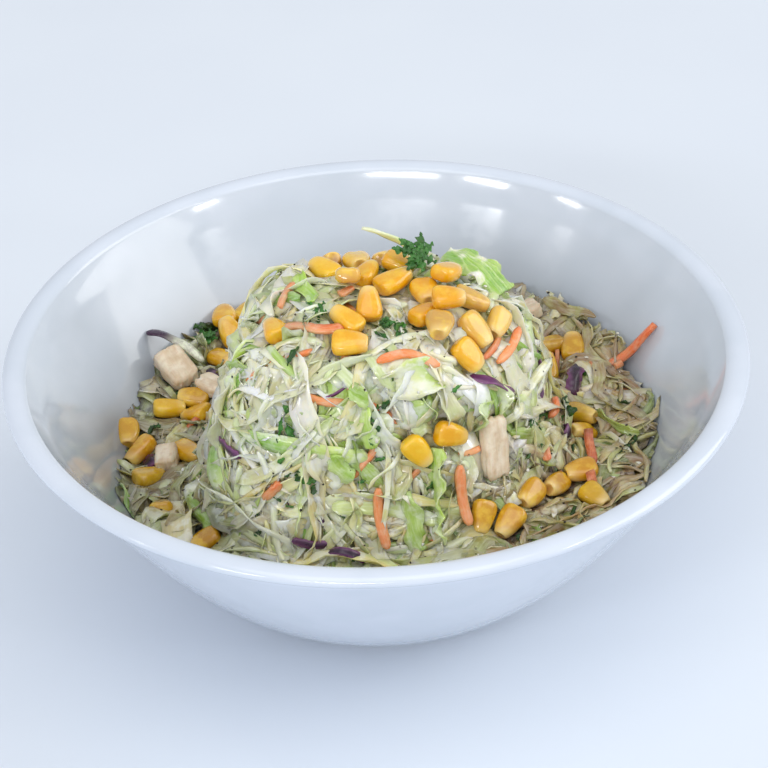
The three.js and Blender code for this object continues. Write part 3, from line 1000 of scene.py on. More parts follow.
@dataclass(frozen=True)
class Cut:
    """How one kind of strip is cut and how it lies. Lengths are millimetres and angles radians.

    Soak and shade say how far the tone of dressing and painted shade tells on it, and draped is the share of
    strips that run down the slope. Tucked is how deep a strip sinks under a topping, and arched is the share
    of strips whose middle stands up. The soak and shade powers and bright are the spans that each strip's own
    power of that tone and its brightness are drawn from.
    """

    length: tuple[float, float]
    width: tuple[float, float]
    thickness: tuple[float, float]
    outline: Outline = Outline.SHRED
    stations: int = 15
    columns: int = 4
    edge: float = 0.35
    bend: float = 1.4
    twist: float = 0.9
    roll: float = 0.5
    ruffle: float = 0.22
    ruffle_length: float = 9.0
    cup: float = 0.18
    ragged: float = 0.22
    layer: tuple[float, float] = (-0.4, 2.6)
    lift: tuple[float, float] = (0.0, 3.0)
    berth: float = 5.0
    soak_and_shade: float = 1.0
    draped: float = 0.0
    tucked: float = 0.7
    arched: float = 0.55
    soak_and_shade_powers: tuple[float, float] = (0.25, 1.55)
    bright: tuple[float, float] = (0.7, 1.06)


@dataclass(frozen=True)
class Tone:
    """How far dressing and painted shade dull a shred, as the share of each channel that is left.

    Deep is painted shade for one that lies between others. The bed is duller than the mound, from dressing
    and painted shade, browner to its right, and paler in front with painted light, where most light falls.
    """

    # Painted shade between shreds, dressing and painted shade on the bed's left and right, and painted light
    # at its front
    deep: tuple[float, float, float] = (0.54, 0.48, 0.28)
    left: tuple[float, float, float] = (0.37, 0.295, 0.23)
    right: tuple[float, float, float] = (0.47, 0.31, 0.19)
    front: tuple[float, float, float] = (0.84, 0.76, 0.56)
    left_to_right: tuple[float, float] = (-25.0, 45.0)
    front_depth: tuple[float, float] = (20.0, 45.0)
    front_middle: float = -5.0
    front_half: tuple[float, float] = (18.0, 42.0)
    mound_from: float = 0.42
    deep_shade_heights: tuple[float, float] = (-0.4, 2.4)

    def bed(self, points: Array) -> Array:
        """Gives the tone at points: 1 on the mound, and beside it the bed's dressing and painted shade, with
        painted light in front.
        """
        x, y = points[..., 0], points[..., 1]
        share = smooth(HEAP.share(x, y)[0], 0.0, self.mound_from)[..., None]
        right = smooth(x, *self.left_to_right)[..., None]
        beside = smooth(np.abs(x - self.front_middle), *self.front_half)
        front = (smooth(-y, *self.front_depth) * (1 - beside))[..., None]
        bed = mixed(np.array(self.left), np.array(self.right), right)
        bed = bed + (np.array(self.front) - bed) * front
        return share + (1 - share) * bed

    def shade(self, points: Array, height: Array) -> Array:
        """Gives the bed's tone at points, darkened by painted shade towards the deep one where they lie low
        over the core.
        """
        low = (1 - smooth(height, *self.deep_shade_heights))[..., None, None]
        tone = self.bed(points)
        return tone * (1 - low * (1 - np.array(self.deep) * tone))


TONE = Tone()


@dataclass
class Strips:
    """Strips on the heap: where each starts, which way it runs, and its size."""

    cut: Cut
    start: Array
    heading: Array
    length: Array
    width: Array
    layer: Array
    bend: Array
    draw: np.random.Generator
    track: Array | None = None

    @classmethod
    def scattered(cls, cut: Cut, count: int, reach: float, seed: int) -> "Strips":
        """Draws strips spread evenly over the heap."""
        draw = np.random.default_rng(seed)
        return cls.laid(cut, HEAP.places(count, reach, draw), draw)

    @classmethod
    def laid(cls, cut: Cut, start: Array, draw: np.random.Generator) -> "Strips":
        """Lays a strip at each start in plan, heading any way on the slope, or nearly down it if draped."""
        count = len(start)
        normal = HEAP.normal(start)
        level = unit(np.stack([-normal[:, 1] + 1e-6, normal[:, 0], np.zeros(count)], -1))
        down = np.cross(normal, level)
        angle = draw.uniform(0, 2 * math.pi, (count, 1))
        draped = draw.uniform(0, 1, (count, 1)) < cut.draped
        angle = np.where(draped, math.pi / 2 + draw.normal(0, 0.45, (count, 1)), angle)
        heading = level * np.cos(angle) + down * np.sin(angle)
        length = draw.uniform(*cut.length, count)
        width = cut.width[0] + (cut.width[1] - cut.width[0]) * draw.uniform(0, 1, count) ** 1.6
        layer = draw.uniform(*cut.layer, count)
        bend = draw.normal(0, cut.bend / 2, count)
        return cls(cut, start, heading, length, width, layer, bend, draw)

    @classmethod
    def shown(cls, cut: Cut, spans: tuple[tuple[float, ...], ...], layer: float, seed: int) -> "Strips":
        """Lays strips along arcs between pairs of pixels of the photograph.

        Args:
            cut: how they are cut.
            spans: start column and row, end column and row, width in millimetres, and bend in radians.
            layer: their height above the heap's bare surface.
            seed: for their small unevenness.

        Returns:
            The strips.
        """
        draw = np.random.default_rng(seed)
        rows = np.array(spans, float)[:, None]
        begin, end, width, bend = rows[..., :2], rows[..., 2:4], rows[:, 0, 4], rows[..., 5:]
        station = np.linspace(0, 1, cut.stations)[:, None]
        chord = end - begin
        aside = np.stack([-chord[..., 1], chord[..., 0]], -1)
        pixels = begin + chord * station + aside * bend / 2 * station * (1 - station)
        path = CAMERA.cast(pixels.reshape(-1, 2)).reshape(*pixels.shape[:2], 3)
        length = np.linalg.norm(np.diff(path, axis=1), axis=-1).sum(1)
        start, heading = path[:, 0, :2], path[:, 1] - path[:, 0]
        straight = np.zeros(len(rows))
        return cls(cut, start, heading, length, width, straight + layer, straight, draw, path[..., :2])

    def walk(self) -> tuple[Array, Array, Array]:
        """Walks each strip over the heap from its middle both ways, or follows its track if it has one.

        A step goes along the heading, which is first laid into the surface's slope and then turned about the
        surface's normal by its share of the bend.

        Returns:
            The surface's points and normals at the stations, and the strip's direction there.
        """
        if self.track is not None:
            ground = HEAP.ground(self.track)
            return ground, HEAP.normal(self.track), unit(np.gradient(ground, axis=1))
        half = self.cut.stations // 2
        pace = (self.length / (2 * half))[:, None]
        turn = (self.bend / (2 * half))[:, None]
        sides = []
        for sign in (-1, 1):
            plan, way = self.start, self.heading * sign
            trail = []
            for _ in range(half):
                normal = HEAP.normal(plan)
                way = unit(way - normal * (way * normal).sum(-1, keepdims=True))
                way = unit(way * np.cos(turn) + np.cross(normal, way) * np.sin(turn))
                plan = plan + way[:, :2] * pace
                trail.append(plan)
            sides.append(trail)
        plan = np.stack(sides[0][::-1] + [self.start] + sides[1], 1)
        ground = HEAP.ground(plan)
        return ground, HEAP.normal(plan), unit(np.gradient(ground, axis=1))

    def shape(self, colours: Array, edge_colour: Array | None = None) -> Shape:
        """Builds the strips' tubes.

        Station points stand off the surface by the strip's layer, plus an arch that is either highest in the
        middle or at the ends. The section is rolled and twisted about the strip's direction, cupped with the
        square of the place across, and ruffled by a sine along the length that grows towards the edges. Each
        edge is ragged by a random share of the width, smoothed between neighbouring stations.

        Args:
            colours: linear colours to draw from.
            edge_colour: colour of both edges, if they differ.

        Returns:
            The joined strips.
        """
        cut, draw = self.cut, self.draw
        count = len(self.length)
        ground, normal, along = self.walk()
        station = np.linspace(0, 1, ground.shape[1])[None]
        room = TOPPINGS.room(ground, cut.berth)
        arch = draw.uniform(*cut.lift, (count, 1)) * draw.uniform(0, 1, (count, 1))
        up_middle = draw.uniform(0, 1, (count, 1)) < cut.arched
        arch = arch * np.where(up_middle, np.sin(math.pi * station), (2 * station - 1) ** 2)
        height = (self.layer[:, None] + arch) * room - cut.tucked * (1 - room)
        centre = ground + normal * height[..., None]
        side = unit(np.cross(normal, along))
        up = np.cross(along, side)
        roll = draw.normal(0, cut.roll, (count, 1)) + draw.normal(0, cut.twist, (count, 1)) * (station - 0.5)
        roll = (roll * room)[..., None]
        side, up = side * np.cos(roll) + up * np.sin(roll), up * np.cos(roll) - side * np.sin(roll)

        ring = section(cut.columns, cut.edge)
        across, thick = ring[:, 0], ring[:, 1]
        ragged = draw.normal(0, cut.ragged / 2, (count, station.size, 2))
        ragged = 1 + (ragged + np.roll(ragged, 1, 1)) / 1.4
        outline = cut.outline.width(station)[..., None] * self.width[:, None, None] / 2
        reach = np.where(across > 0, ragged[..., :1], ragged[..., 1:]) * outline * across
        half_thick = draw.uniform(*cut.thickness, (count, 1, 1)) / 2
        phase = draw.uniform(0, 2 * math.pi, (count, 1, 1)) + (across > 0) * 1.9
        waves = 2 * math.pi * self.length[:, None, None] * station[..., None] / cut.ruffle_length
        wave = cut.ruffle * self.width[:, None, None] * np.sin(waves + phase) * across**2
        cup = draw.normal(0, cut.cup, (count, 1, 1)) * self.width[:, None, None] * across**2
        rise = thick * half_thick + (wave + cup) * room[..., None]
        rings = centre[:, :, None] + side[:, :, None] * reach[..., None] + up[:, :, None] * rise[..., None]
        rings = BOWL.inside(rings, WALL_GAP)

        pick = draw.integers(0, len(colours), (count, 2))
        turn_half = 0.25
        turn_at = draw.uniform(0.1, 0.9, (count, 1, 1))
        share = smooth(station[..., None] + turn_half * across, turn_at - turn_half, turn_at + turn_half)
        first, second = colours[pick[:, 0]][:, None, None], colours[pick[:, 1]][:, None, None]
        tint = mixed(first, second, share[..., None])
        # Painted shade: each strip's colour takes the bed's tone of dressing and painted shade, darkest where
        # it lies low, to its own power
        soak_and_shade_powers = cut.soak_and_shade * draw.uniform(*cut.soak_and_shade_powers, (count, 1, 1, 1))
        tint = tint * draw.uniform(*cut.bright, (count, 1, 1, 1)) * TONE.shade(rings, height) ** soak_and_shade_powers
        if edge_colour is not None:
            rim = (np.abs(across) > 0.9)[None, None, :, None]
            tint = np.where(rim, edge_colour, tint)
        along_mm = station[..., None] * self.length[:, None, None] + 0 * across
        across_mm = np.broadcast_to(across * self.width[:, None, None] / 2, along_mm.shape)
        number = np.broadcast_to(np.arange(count)[:, None, None] * 3.7, along_mm.shape)
        return tubes(rings, np.clip(tint, 0, 1), np.stack([along_mm, across_mm, number], -1))


@dataclass(frozen=True)
class Route:
    """A strip that stands away from the heap, through points of x, y and height above the bare surface.

    It turns from the first colour to the second over a span of its length, and its edges wave a little.
    """

    points: tuple[tuple[float, float, float], ...]
    width: float
    thickness: float
    colours: tuple[str, str]
    outline: Outline = Outline.SHRED
    turn_span: tuple[float, float] = (0.35, 0.7)
    wave: tuple[float, float] = (0.3, 9.0)
    full_wave_width: float = 4.0

    def shape(self, stations: int = 25, columns: int = 4) -> Shape:
        """Builds the strip's tube on a smooth curve through the route's points.

        Between two points the curve is the cubic whose slopes at both are half the step from the point before
        to the point after.
        """
        plan = np.array(self.points, float)
        knots = np.concatenate([plan[:, :2], (HEAP.height(plan[:, 0], plan[:, 1]) + plan[:, 2])[:, None]], 1)
        padded = np.concatenate([2 * knots[:1] - knots[1:2], knots, 2 * knots[-1:] - knots[-2:-1]])
        place = np.linspace(0, len(knots) - 1 - 1e-6, stations)
        base, t = place.astype(int), (place % 1)[:, None]
        p0, p1, p2, p3 = (padded[base + i] for i in range(4))
        slope, bow, twist = p2 - p0, 2 * p0 - 5 * p1 + 4 * p2 - p3, 3 * p1 - p0 - 3 * p2 + p3
        centre = 0.5 * (2 * p1 + slope * t + bow * t**2 + twist * t**3)
        along = unit(np.gradient(centre, axis=0))
        side = unit(np.cross(HEAP.normal(centre[:, :2]), along))
        up = np.cross(along, side)
        ring = section(columns, 0.5)
        station = np.linspace(0, 1, stations)
        outline = self.outline.width(station) * self.width / 2
        height, rate = self.wave
        wave = height * np.sin(station * rate)[:, None] * ring[:, 0] ** 2
        wave = wave * min(self.width / self.full_wave_width, 1)
        rings = centre[:, None] + side[:, None] * (outline[:, None] * ring[:, 0])[..., None]
        rings = rings + up[:, None] * (ring[:, 1] * self.thickness / 2 + wave)[..., None]
        length = np.linalg.norm(np.diff(centre, axis=0), axis=1).sum()
        place = station[:, None] * np.ones(len(ring))
        tint = mixed(*palette(*self.colours), smooth(place, *self.turn_span)[..., None])
        across = np.broadcast_to(ring[:, 0] * self.width / 2, place.shape)
        grain = np.stack([place * length, across, np.full(place.shape, self.width)], -1)
        return tubes(BOWL.inside(rings, WALL_GAP)[None], tint[None], grain[None])


@dataclass(frozen=True)
class HeapCore:
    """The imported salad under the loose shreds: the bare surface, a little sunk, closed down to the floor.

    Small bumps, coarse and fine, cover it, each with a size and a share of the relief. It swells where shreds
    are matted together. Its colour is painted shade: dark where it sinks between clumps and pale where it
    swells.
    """

    sunk: float = 1.3
    swell: float = 1.6
    relief: float = 0.7
    coarse: tuple[float, float] = (6.0, 0.5)
    fine: tuple[float, float] = (2.2, 0.35)
    clump_size: float = 15.0
    fleck: tuple[float, float] = (4.0, 0.4)
    gap: float = 0.2
    floor_gap: float = 0.4
    rings: int = 120
    spokes: int = 240
    skirt_rings: int = 8
    skirt_span: tuple[float, float] = (0.85, 0.02)
    inner: float = 0.4
    floor_share: float = 0.02
    # Painted shade: the dark colour for the hollows between clumps, the pale one for the clumps
    colours: tuple[str, str] = ("#46401A", "#CFD292")

    def build(self) -> bpy.types.Object:
        """Builds the core: rings of the surface, drawn in to the wall, then down the wall to the floor."""
        angle = full_turn(self.spokes)[::-1]
        circle = np.stack([np.cos(angle), np.sin(angle)], -1)
        plan = np.linspace(self.inner, HEAP.reach, self.rings)[:, None, None] * circle
        ground = HEAP.ground(plan)
        bumps = ripple(ground, self.coarse[0], 3) * self.coarse[1]
        bumps = bumps + ripple(ground, self.fine[0], 4) * self.fine[1]
        matted = smooth(ripple(ground, self.clump_size, 6), -0.1, 1.0)
        rise = bumps * self.relief + matted * self.swell - self.sunk
        top = BOWL.inside(ground + HEAP.normal(plan) * rise[..., None], self.gap)
        skirt = np.repeat(top[-1:], self.skirt_rings, 0)
        low = BOWL.foot[1] + BOWL.wall + self.floor_gap
        skirt[..., 2] = low + (top[-1, :, 2] - low) * np.linspace(*self.skirt_span, self.skirt_rings)[:, None]
        skirt = BOWL.inside(skirt, self.gap)
        floor = skirt[-1:] * [self.floor_share, self.floor_share, 1]
        rings = np.concatenate([top, skirt, floor])
        # Painted shade: dark in the hollows and pale on the clumps, then the bed's tone of dressing and
        # painted shade
        share = ripple(rings, self.clump_size, 6) + self.fleck[1] * ripple(rings, self.fleck[0], 5)
        tint = mixed(*palette(*self.colours), smooth(share, -0.2, 0.9)[..., None]) * TONE.bed(rings)
        shape = tubes(rings[None], tint[None], rings[None])
        shape.faces = shape.faces[:, ::-1]
        return make_piece("slaw_core", shape, PACKED.material(), "dressed_slaw", "slaw_heap")


# Colours that the strips of each kind are drawn from
WHITE_COLOURS = palette("#F4F9E2", "#EAF4C8", "#D8EAA2", "#F8FCF0", "#F2F1BC", "#DFF0A8")
CREAM_COLOURS = palette("#F9F0C8", "#F4E8AE", "#EDDC98", "#FBF5DC", "#F4ECA8")
GREEN_COLOURS = palette("#98C83C", "#80B82C", "#B8DC66", "#A8D04C", "#D0EA84")
CARROT_COLOURS = palette("#F58440", "#F79658", "#F7A872", "#F07632")
VIOLET_COLOURS = palette("#3C1038", "#521C4E", "#2A0C2C", "#6E2E68")
HERB_COLOURS = palette("#22551C", "#2F6E26", "#1A4516", "#438434")

# Long shreds, two to nine millimetres wide, as a knife or a coarse shredder leaves them
SHRED_CUT = Cut(
    length=(18, 46),
    width=(2.4, 9.0),
    thickness=(0.35, 0.8),
    ruffle=0.12,
    ruffle_length=17.0,
    cup=0.2,
    roll=0.32,
    draped=0.45,
)
# Fine threads that lie on top
FINE_CUT = Cut(
    length=(14, 40),
    width=(1.3, 3.2),
    thickness=(0.5, 1.0),
    bend=2.0,
    twist=1.4,
    lift=(0, 3.4),
    layer=(0.6, 3.6),
    draped=0.3,
)
# Flat strips for the single shreds that stand out
BROAD_CUT = Cut(
    length=(16, 34),
    width=(6, 10),
    thickness=(0.6, 1.0),
    columns=6,
    ruffle=0.18,
    ragged=0.24,
    lift=(0, 1),
    berth=2.0,
)
# Short stiff ends of leaf ribs
RIB_CUT = Cut(
    length=(6, 15),
    width=(2.6, 5.4),
    thickness=(1.4, 2.6),
    edge=0.6,
    stations=9,
    bend=0.6,
    twist=0.3,
    ruffle=0.04,
    cup=0.06,
    ragged=0.14,
    layer=(0.6, 2.4),
    lift=(0, 1.0),
)
# Thin flakes of leaf
FLAKE_CUT = Cut(
    length=(8, 20),
    width=(5, 11),
    thickness=(0.4, 0.8),
    outline=Outline.FLAKE,
    stations=11,
    columns=8,
    roll=0.45,
    ruffle=0.15,
    cup=0.22,
    ragged=0.26,
    layer=(0.4, 3.0),
)
# Grated sticks of carrot
STICK_CUT = Cut(
    length=(9, 20),
    width=(1.6, 2.8),
    thickness=(1.2, 1.9),
    edge=0.72,
    bend=0.9,
    twist=0.4,
    roll=0.5,
    ruffle=0.0,
    cup=0.0,
    ragged=0.08,
    layer=(0.6, 2.4),
    lift=(0, 1.2),
    berth=1.0,
    soak_and_shade=0.35,
)
# Narrow curls of red cabbage
VIOLET_CUT = Cut(
    length=(8, 20),
    width=(1.4, 4.2),
    thickness=(0.7, 1.3),
    bend=1.6,
    ruffle=0.12,
    layer=(0.2, 2.2),
)
# Bits of parsley leaf
BIT_CUT = Cut(
    length=(1.6, 5),
    width=(1.2, 3.2),
    thickness=(0.35, 0.6),
    outline=Outline.LEAFLET,
    stations=9,
    bend=0.6,
    roll=0.6,
    ruffle=0.25,
    ruffle_length=2.5,
    cup=0.25,
    layer=(2.4, 3.8),
    lift=(0, 0.6),
)

# Strips that stand out in the photograph, each with its start's column and row, its end's column and row,
# its width in millimetres and its bend in radians
SHOWN_CARROT = (
    (376, 361, 435, 364, 2.6, -0.4),
    (506, 330, 486, 360, 2.4, -0.5),
    (287, 337, 342, 332, 2.6, 0.2),
    (531, 447, 534, 462, 2.4, 0.1),
    (453, 458, 464, 524, 2.8, 0.3),
    (588, 434, 602, 500, 2.6, 0.9),
    (378, 480, 387, 545, 2.8, 0.4),
    (540, 398, 536, 416, 2.2, 0.1),
    (270, 490, 284, 474, 2.4, 0.3),
    (296, 292, 287, 316, 2.0, 0.4),
    (612, 372, 622, 366, 2.2, 0.1),
    (343, 306, 352, 300, 2.6, 0.0),
    (194, 544, 222, 540, 2.6, 0.2),
)
SHOWN_VIOLET = (
    (199, 398, 217, 417, 1.4, 0.2),
    (226, 428, 251, 452, 3.0, 0.4),
    (144, 466, 160, 458, 5.0, 0.4),
    (206, 380, 222, 372, 4.6, 0.3),
    (466, 374, 501, 391, 2.4, -0.4),
    (294, 533, 326, 541, 2.2, 0.4),
    (568, 400, 576, 372, 5.0, 0.5),
    (556, 440, 566, 418, 4.6, 0.4),
    (256, 270, 268, 272, 3.6, 0.2),
    (328, 555, 360, 566, 2.4, 0.5),
    (214, 542, 224, 546, 2.6, 0.2),
)
SHOWN_GREEN = (
    (432, 441, 446, 546, 8.0, 0.3),
    (404, 482, 424, 555, 6.4, 0.3),
    (366, 400, 374, 440, 4.4, 1.0),
    (345, 386, 368, 394, 4.4, 0.3),
    (330, 446, 352, 470, 4.8, 0.8),
    (300, 285, 316, 315, 4.0, 0.4),
    (196, 346, 222, 372, 5.4, 0.2),
    (470, 400, 492, 430, 7.0, 0.6),
    (196, 496, 222, 528, 4.2, 0.4),
    (596, 414, 640, 440, 2.4, 0.5),
)
SHOWN_PALE = (
    (288, 388, 372, 356, 2.8, -0.2),
    (366, 358, 440, 338, 2.0, -0.5),
    (402, 344, 470, 362, 2.2, 0.4),
    (310, 420, 302, 488, 4.2, 0.6),
    (430, 380, 452, 444, 5.0, -0.7),
    (184, 428, 230, 426, 2.6, 0.2),
    (246, 478, 330, 410, 3.4, 0.5),
    (590, 330, 606, 410, 3.4, 0.5),
    (556, 470, 530, 420, 3.6, 0.4),
    (548, 306, 600, 322, 3.6, 0.3),
    (628, 420, 652, 476, 1.8, 0.6),
    (330, 500, 440, 516, 4.6, -0.5),
    (220, 500, 300, 470, 3.8, 0.7),
    (352, 430, 392, 410, 5.6, 0.8),
)
# Clusters of parsley bits that show in the photograph: column and row
SHOWN_HERB = (
    (153, 438),
    (237, 305),
    (179, 392),
    (181, 414),
    (523, 428),
    (554, 410),
    (548, 402),
    (630, 446),
    (525, 346),
    (559, 476),
    (300, 265),
    (388, 275),
    (366, 290),
    (375, 412),
    (377, 424),
    (306, 474),
    (288, 448),
    (400, 333),
    (388, 333),
    (266, 268),
    (216, 320),
    (206, 330),
)


# Strips that reach out of the heap: behind the parsley, at the right wall, and from both shoulders
PALE_ROUTES = (
    Route(
        ((12, 11, 1), (8.6, 15.8, 7.7), (2.7, 17.2, 12.9), (-2.2, 18.8, 17.6)),
        2.8,
        1.0,
        ("#D3E2A4", "#EDF3D0"),
        Outline.POINTED,
    ),
    Route(((58, -3, 1), (66, -11, 1.6), (71, -20, 2.4)), 1.9, 0.9, ("#DDE3B4", "#E9E8CE")),
    Route(((-30, -10, 0), (-38, -12, 1), (-45, -13, 12)), 3.4, 1.0, ("#E6ECC8", "#F4F5EA")),
    Route(((32, -6, 0), (38, -12, 2), (40, -19, 3)), 3.2, 1.1, ("#E9EECC", "#F3F3E4")),
)
# A carrot stick that leans on the wall at the right
WALL_CARROT = Route(((63, 26, 0), (71, 27, 4.5), (79.5, 28, 12.5)), 2.6, 2.0, ("#EE7E48", "#EC6E34"))
# A rib of red cabbage at the wall on the left, white where it was cut from and violet at its tip
VIOLET_RIB = Route(
    ((-50, 40.5, 3.5), (-55, 42, 6.5), (-60.5, 44, 8.6), (-66, 46, 9.4)), 3.0, 1.0, ("#E6EAD0", "#2C0A2A")
)


@dataclass(frozen=True)
class Shown:
    """Strips that stand out in the photograph: their spans, cut, height above the surface and colours."""

    spans: tuple[tuple[float, ...], ...]
    cut: Cut
    layer: float
    colours: Array


@dataclass(frozen=True)
class Kind:
    """One kind of strip: its piece's name, its cut, how many are scattered, its colours and its seed.

    Some kinds also have strips that stand out in the photograph, or another colour at both edges.
    """

    name: str
    cut: Cut
    count: int
    colours: Array
    seed: int
    shown: Shown | None = None
    edge: str | None = None

    def shapes(self, reach: float) -> list[Shape]:
        """Builds the scattered strips, and then the ones that stand out, if there are any."""
        edge = linear(self.edge) if self.edge else None
        shapes = [Strips.scattered(self.cut, self.count, reach, self.seed).shape(self.colours, edge)]
        if self.shown:
            strips = Strips.shown(self.shown.cut, self.shown.spans, self.shown.layer, self.seed + 1)
            shapes.append(strips.shape(self.shown.colours, edge))
        return shapes


PALE_SHOWN = Shown(SHOWN_PALE, BROAD_CUT, 3.4, WHITE_COLOURS[[1, 2, 4]])
GREEN_SHOWN = Shown(SHOWN_GREEN, BROAD_CUT, 4.5, GREEN_COLOURS[[0, 2, 3]])
CARROT_SHOWN = Shown(SHOWN_CARROT, STICK_CUT, 4.4, CARROT_COLOURS)
VIOLET_SHOWN = Shown(SHOWN_VIOLET, VIOLET_CUT, 4.0, VIOLET_COLOURS)

PALE_COLOURS = np.concatenate([WHITE_COLOURS, CREAM_COLOURS])
FLAKE_COLOURS = np.concatenate([PALE_COLOURS, GREEN_COLOURS[2:4]])
RIB_COLOURS = np.concatenate([WHITE_COLOURS[[0, 3]], CREAM_COLOURS])
CABBAGE_KINDS = (
    Kind("white_shreds", SHRED_CUT, 560, WHITE_COLOURS, 11, PALE_SHOWN),
    Kind("cream_shreds", SHRED_CUT, 400, CREAM_COLOURS, 21),
    Kind("green_shreds", SHRED_CUT, 190, GREEN_COLOURS, 31, GREEN_SHOWN),
    Kind("fine_shreds", FINE_CUT, 420, PALE_COLOURS, 41),
    Kind("cabbage_flakes", FLAKE_CUT, 230, FLAKE_COLOURS, 53),
    Kind("cabbage_ribs", RIB_CUT, 150, RIB_COLOURS, 55),
)
CARROT_KIND = Kind("carrot_sticks", STICK_CUT, 46, CARROT_COLOURS, 61, CARROT_SHOWN)
VIOLET_KIND = Kind("red_cabbage", VIOLET_CUT, 34, VIOLET_COLOURS, 71, VIOLET_SHOWN, "#86507E")


def upper_skin(shapes: list[Shape], cell: float) -> Array:
    """Picks the highest point of the shapes in each square cell of plan, where a grain can lie in sight."""
    points = np.concatenate([shape.points for shape in shapes])
    row_step = 1000
    column = np.floor(points[:, :2] / cell).astype(int) @ [row_step, 1]
    order = np.lexsort((points[:, 2], column))
    last = np.append(np.diff(column[order]) > 0, True)
    return points[order][last]


@dataclass(frozen=True)
class Slaw:
    """The loose shreds and flakes over the heap's core, one piece for each kind."""

    reach: float = 72.0
    skin_cell: float = 1.0

    def build(self) -> Array:
        """Builds every kind of cabbage, the sticks of carrot and the strips of red cabbage.

        Returns:
            Points on the upper skin of the white and green cabbage.
        """
        cabbage = CABBAGE.material()
        laid = []
        for kind in CABBAGE_KINDS:
            shapes = kind.shapes(self.reach)
            make_piece(kind.name, Shape.joined(shapes), cabbage, "dressed_slaw")
            laid += shapes
        reaching = [route.shape() for route in PALE_ROUTES]
        make_piece("reaching_shreds", Shape.joined(reaching), cabbage, "dressed_slaw")
        others = ((CARROT_KIND, WALL_CARROT, CARROT), (VIOLET_KIND, VIOLET_RIB, RED_CABBAGE))
        for kind, route, finish in others:
            strips = Shape.joined([*kind.shapes(self.reach), route.shape()])
            make_piece(kind.name, strips, finish.material(), "dressed_slaw")
        return upper_skin(laid, self.skin_cell)


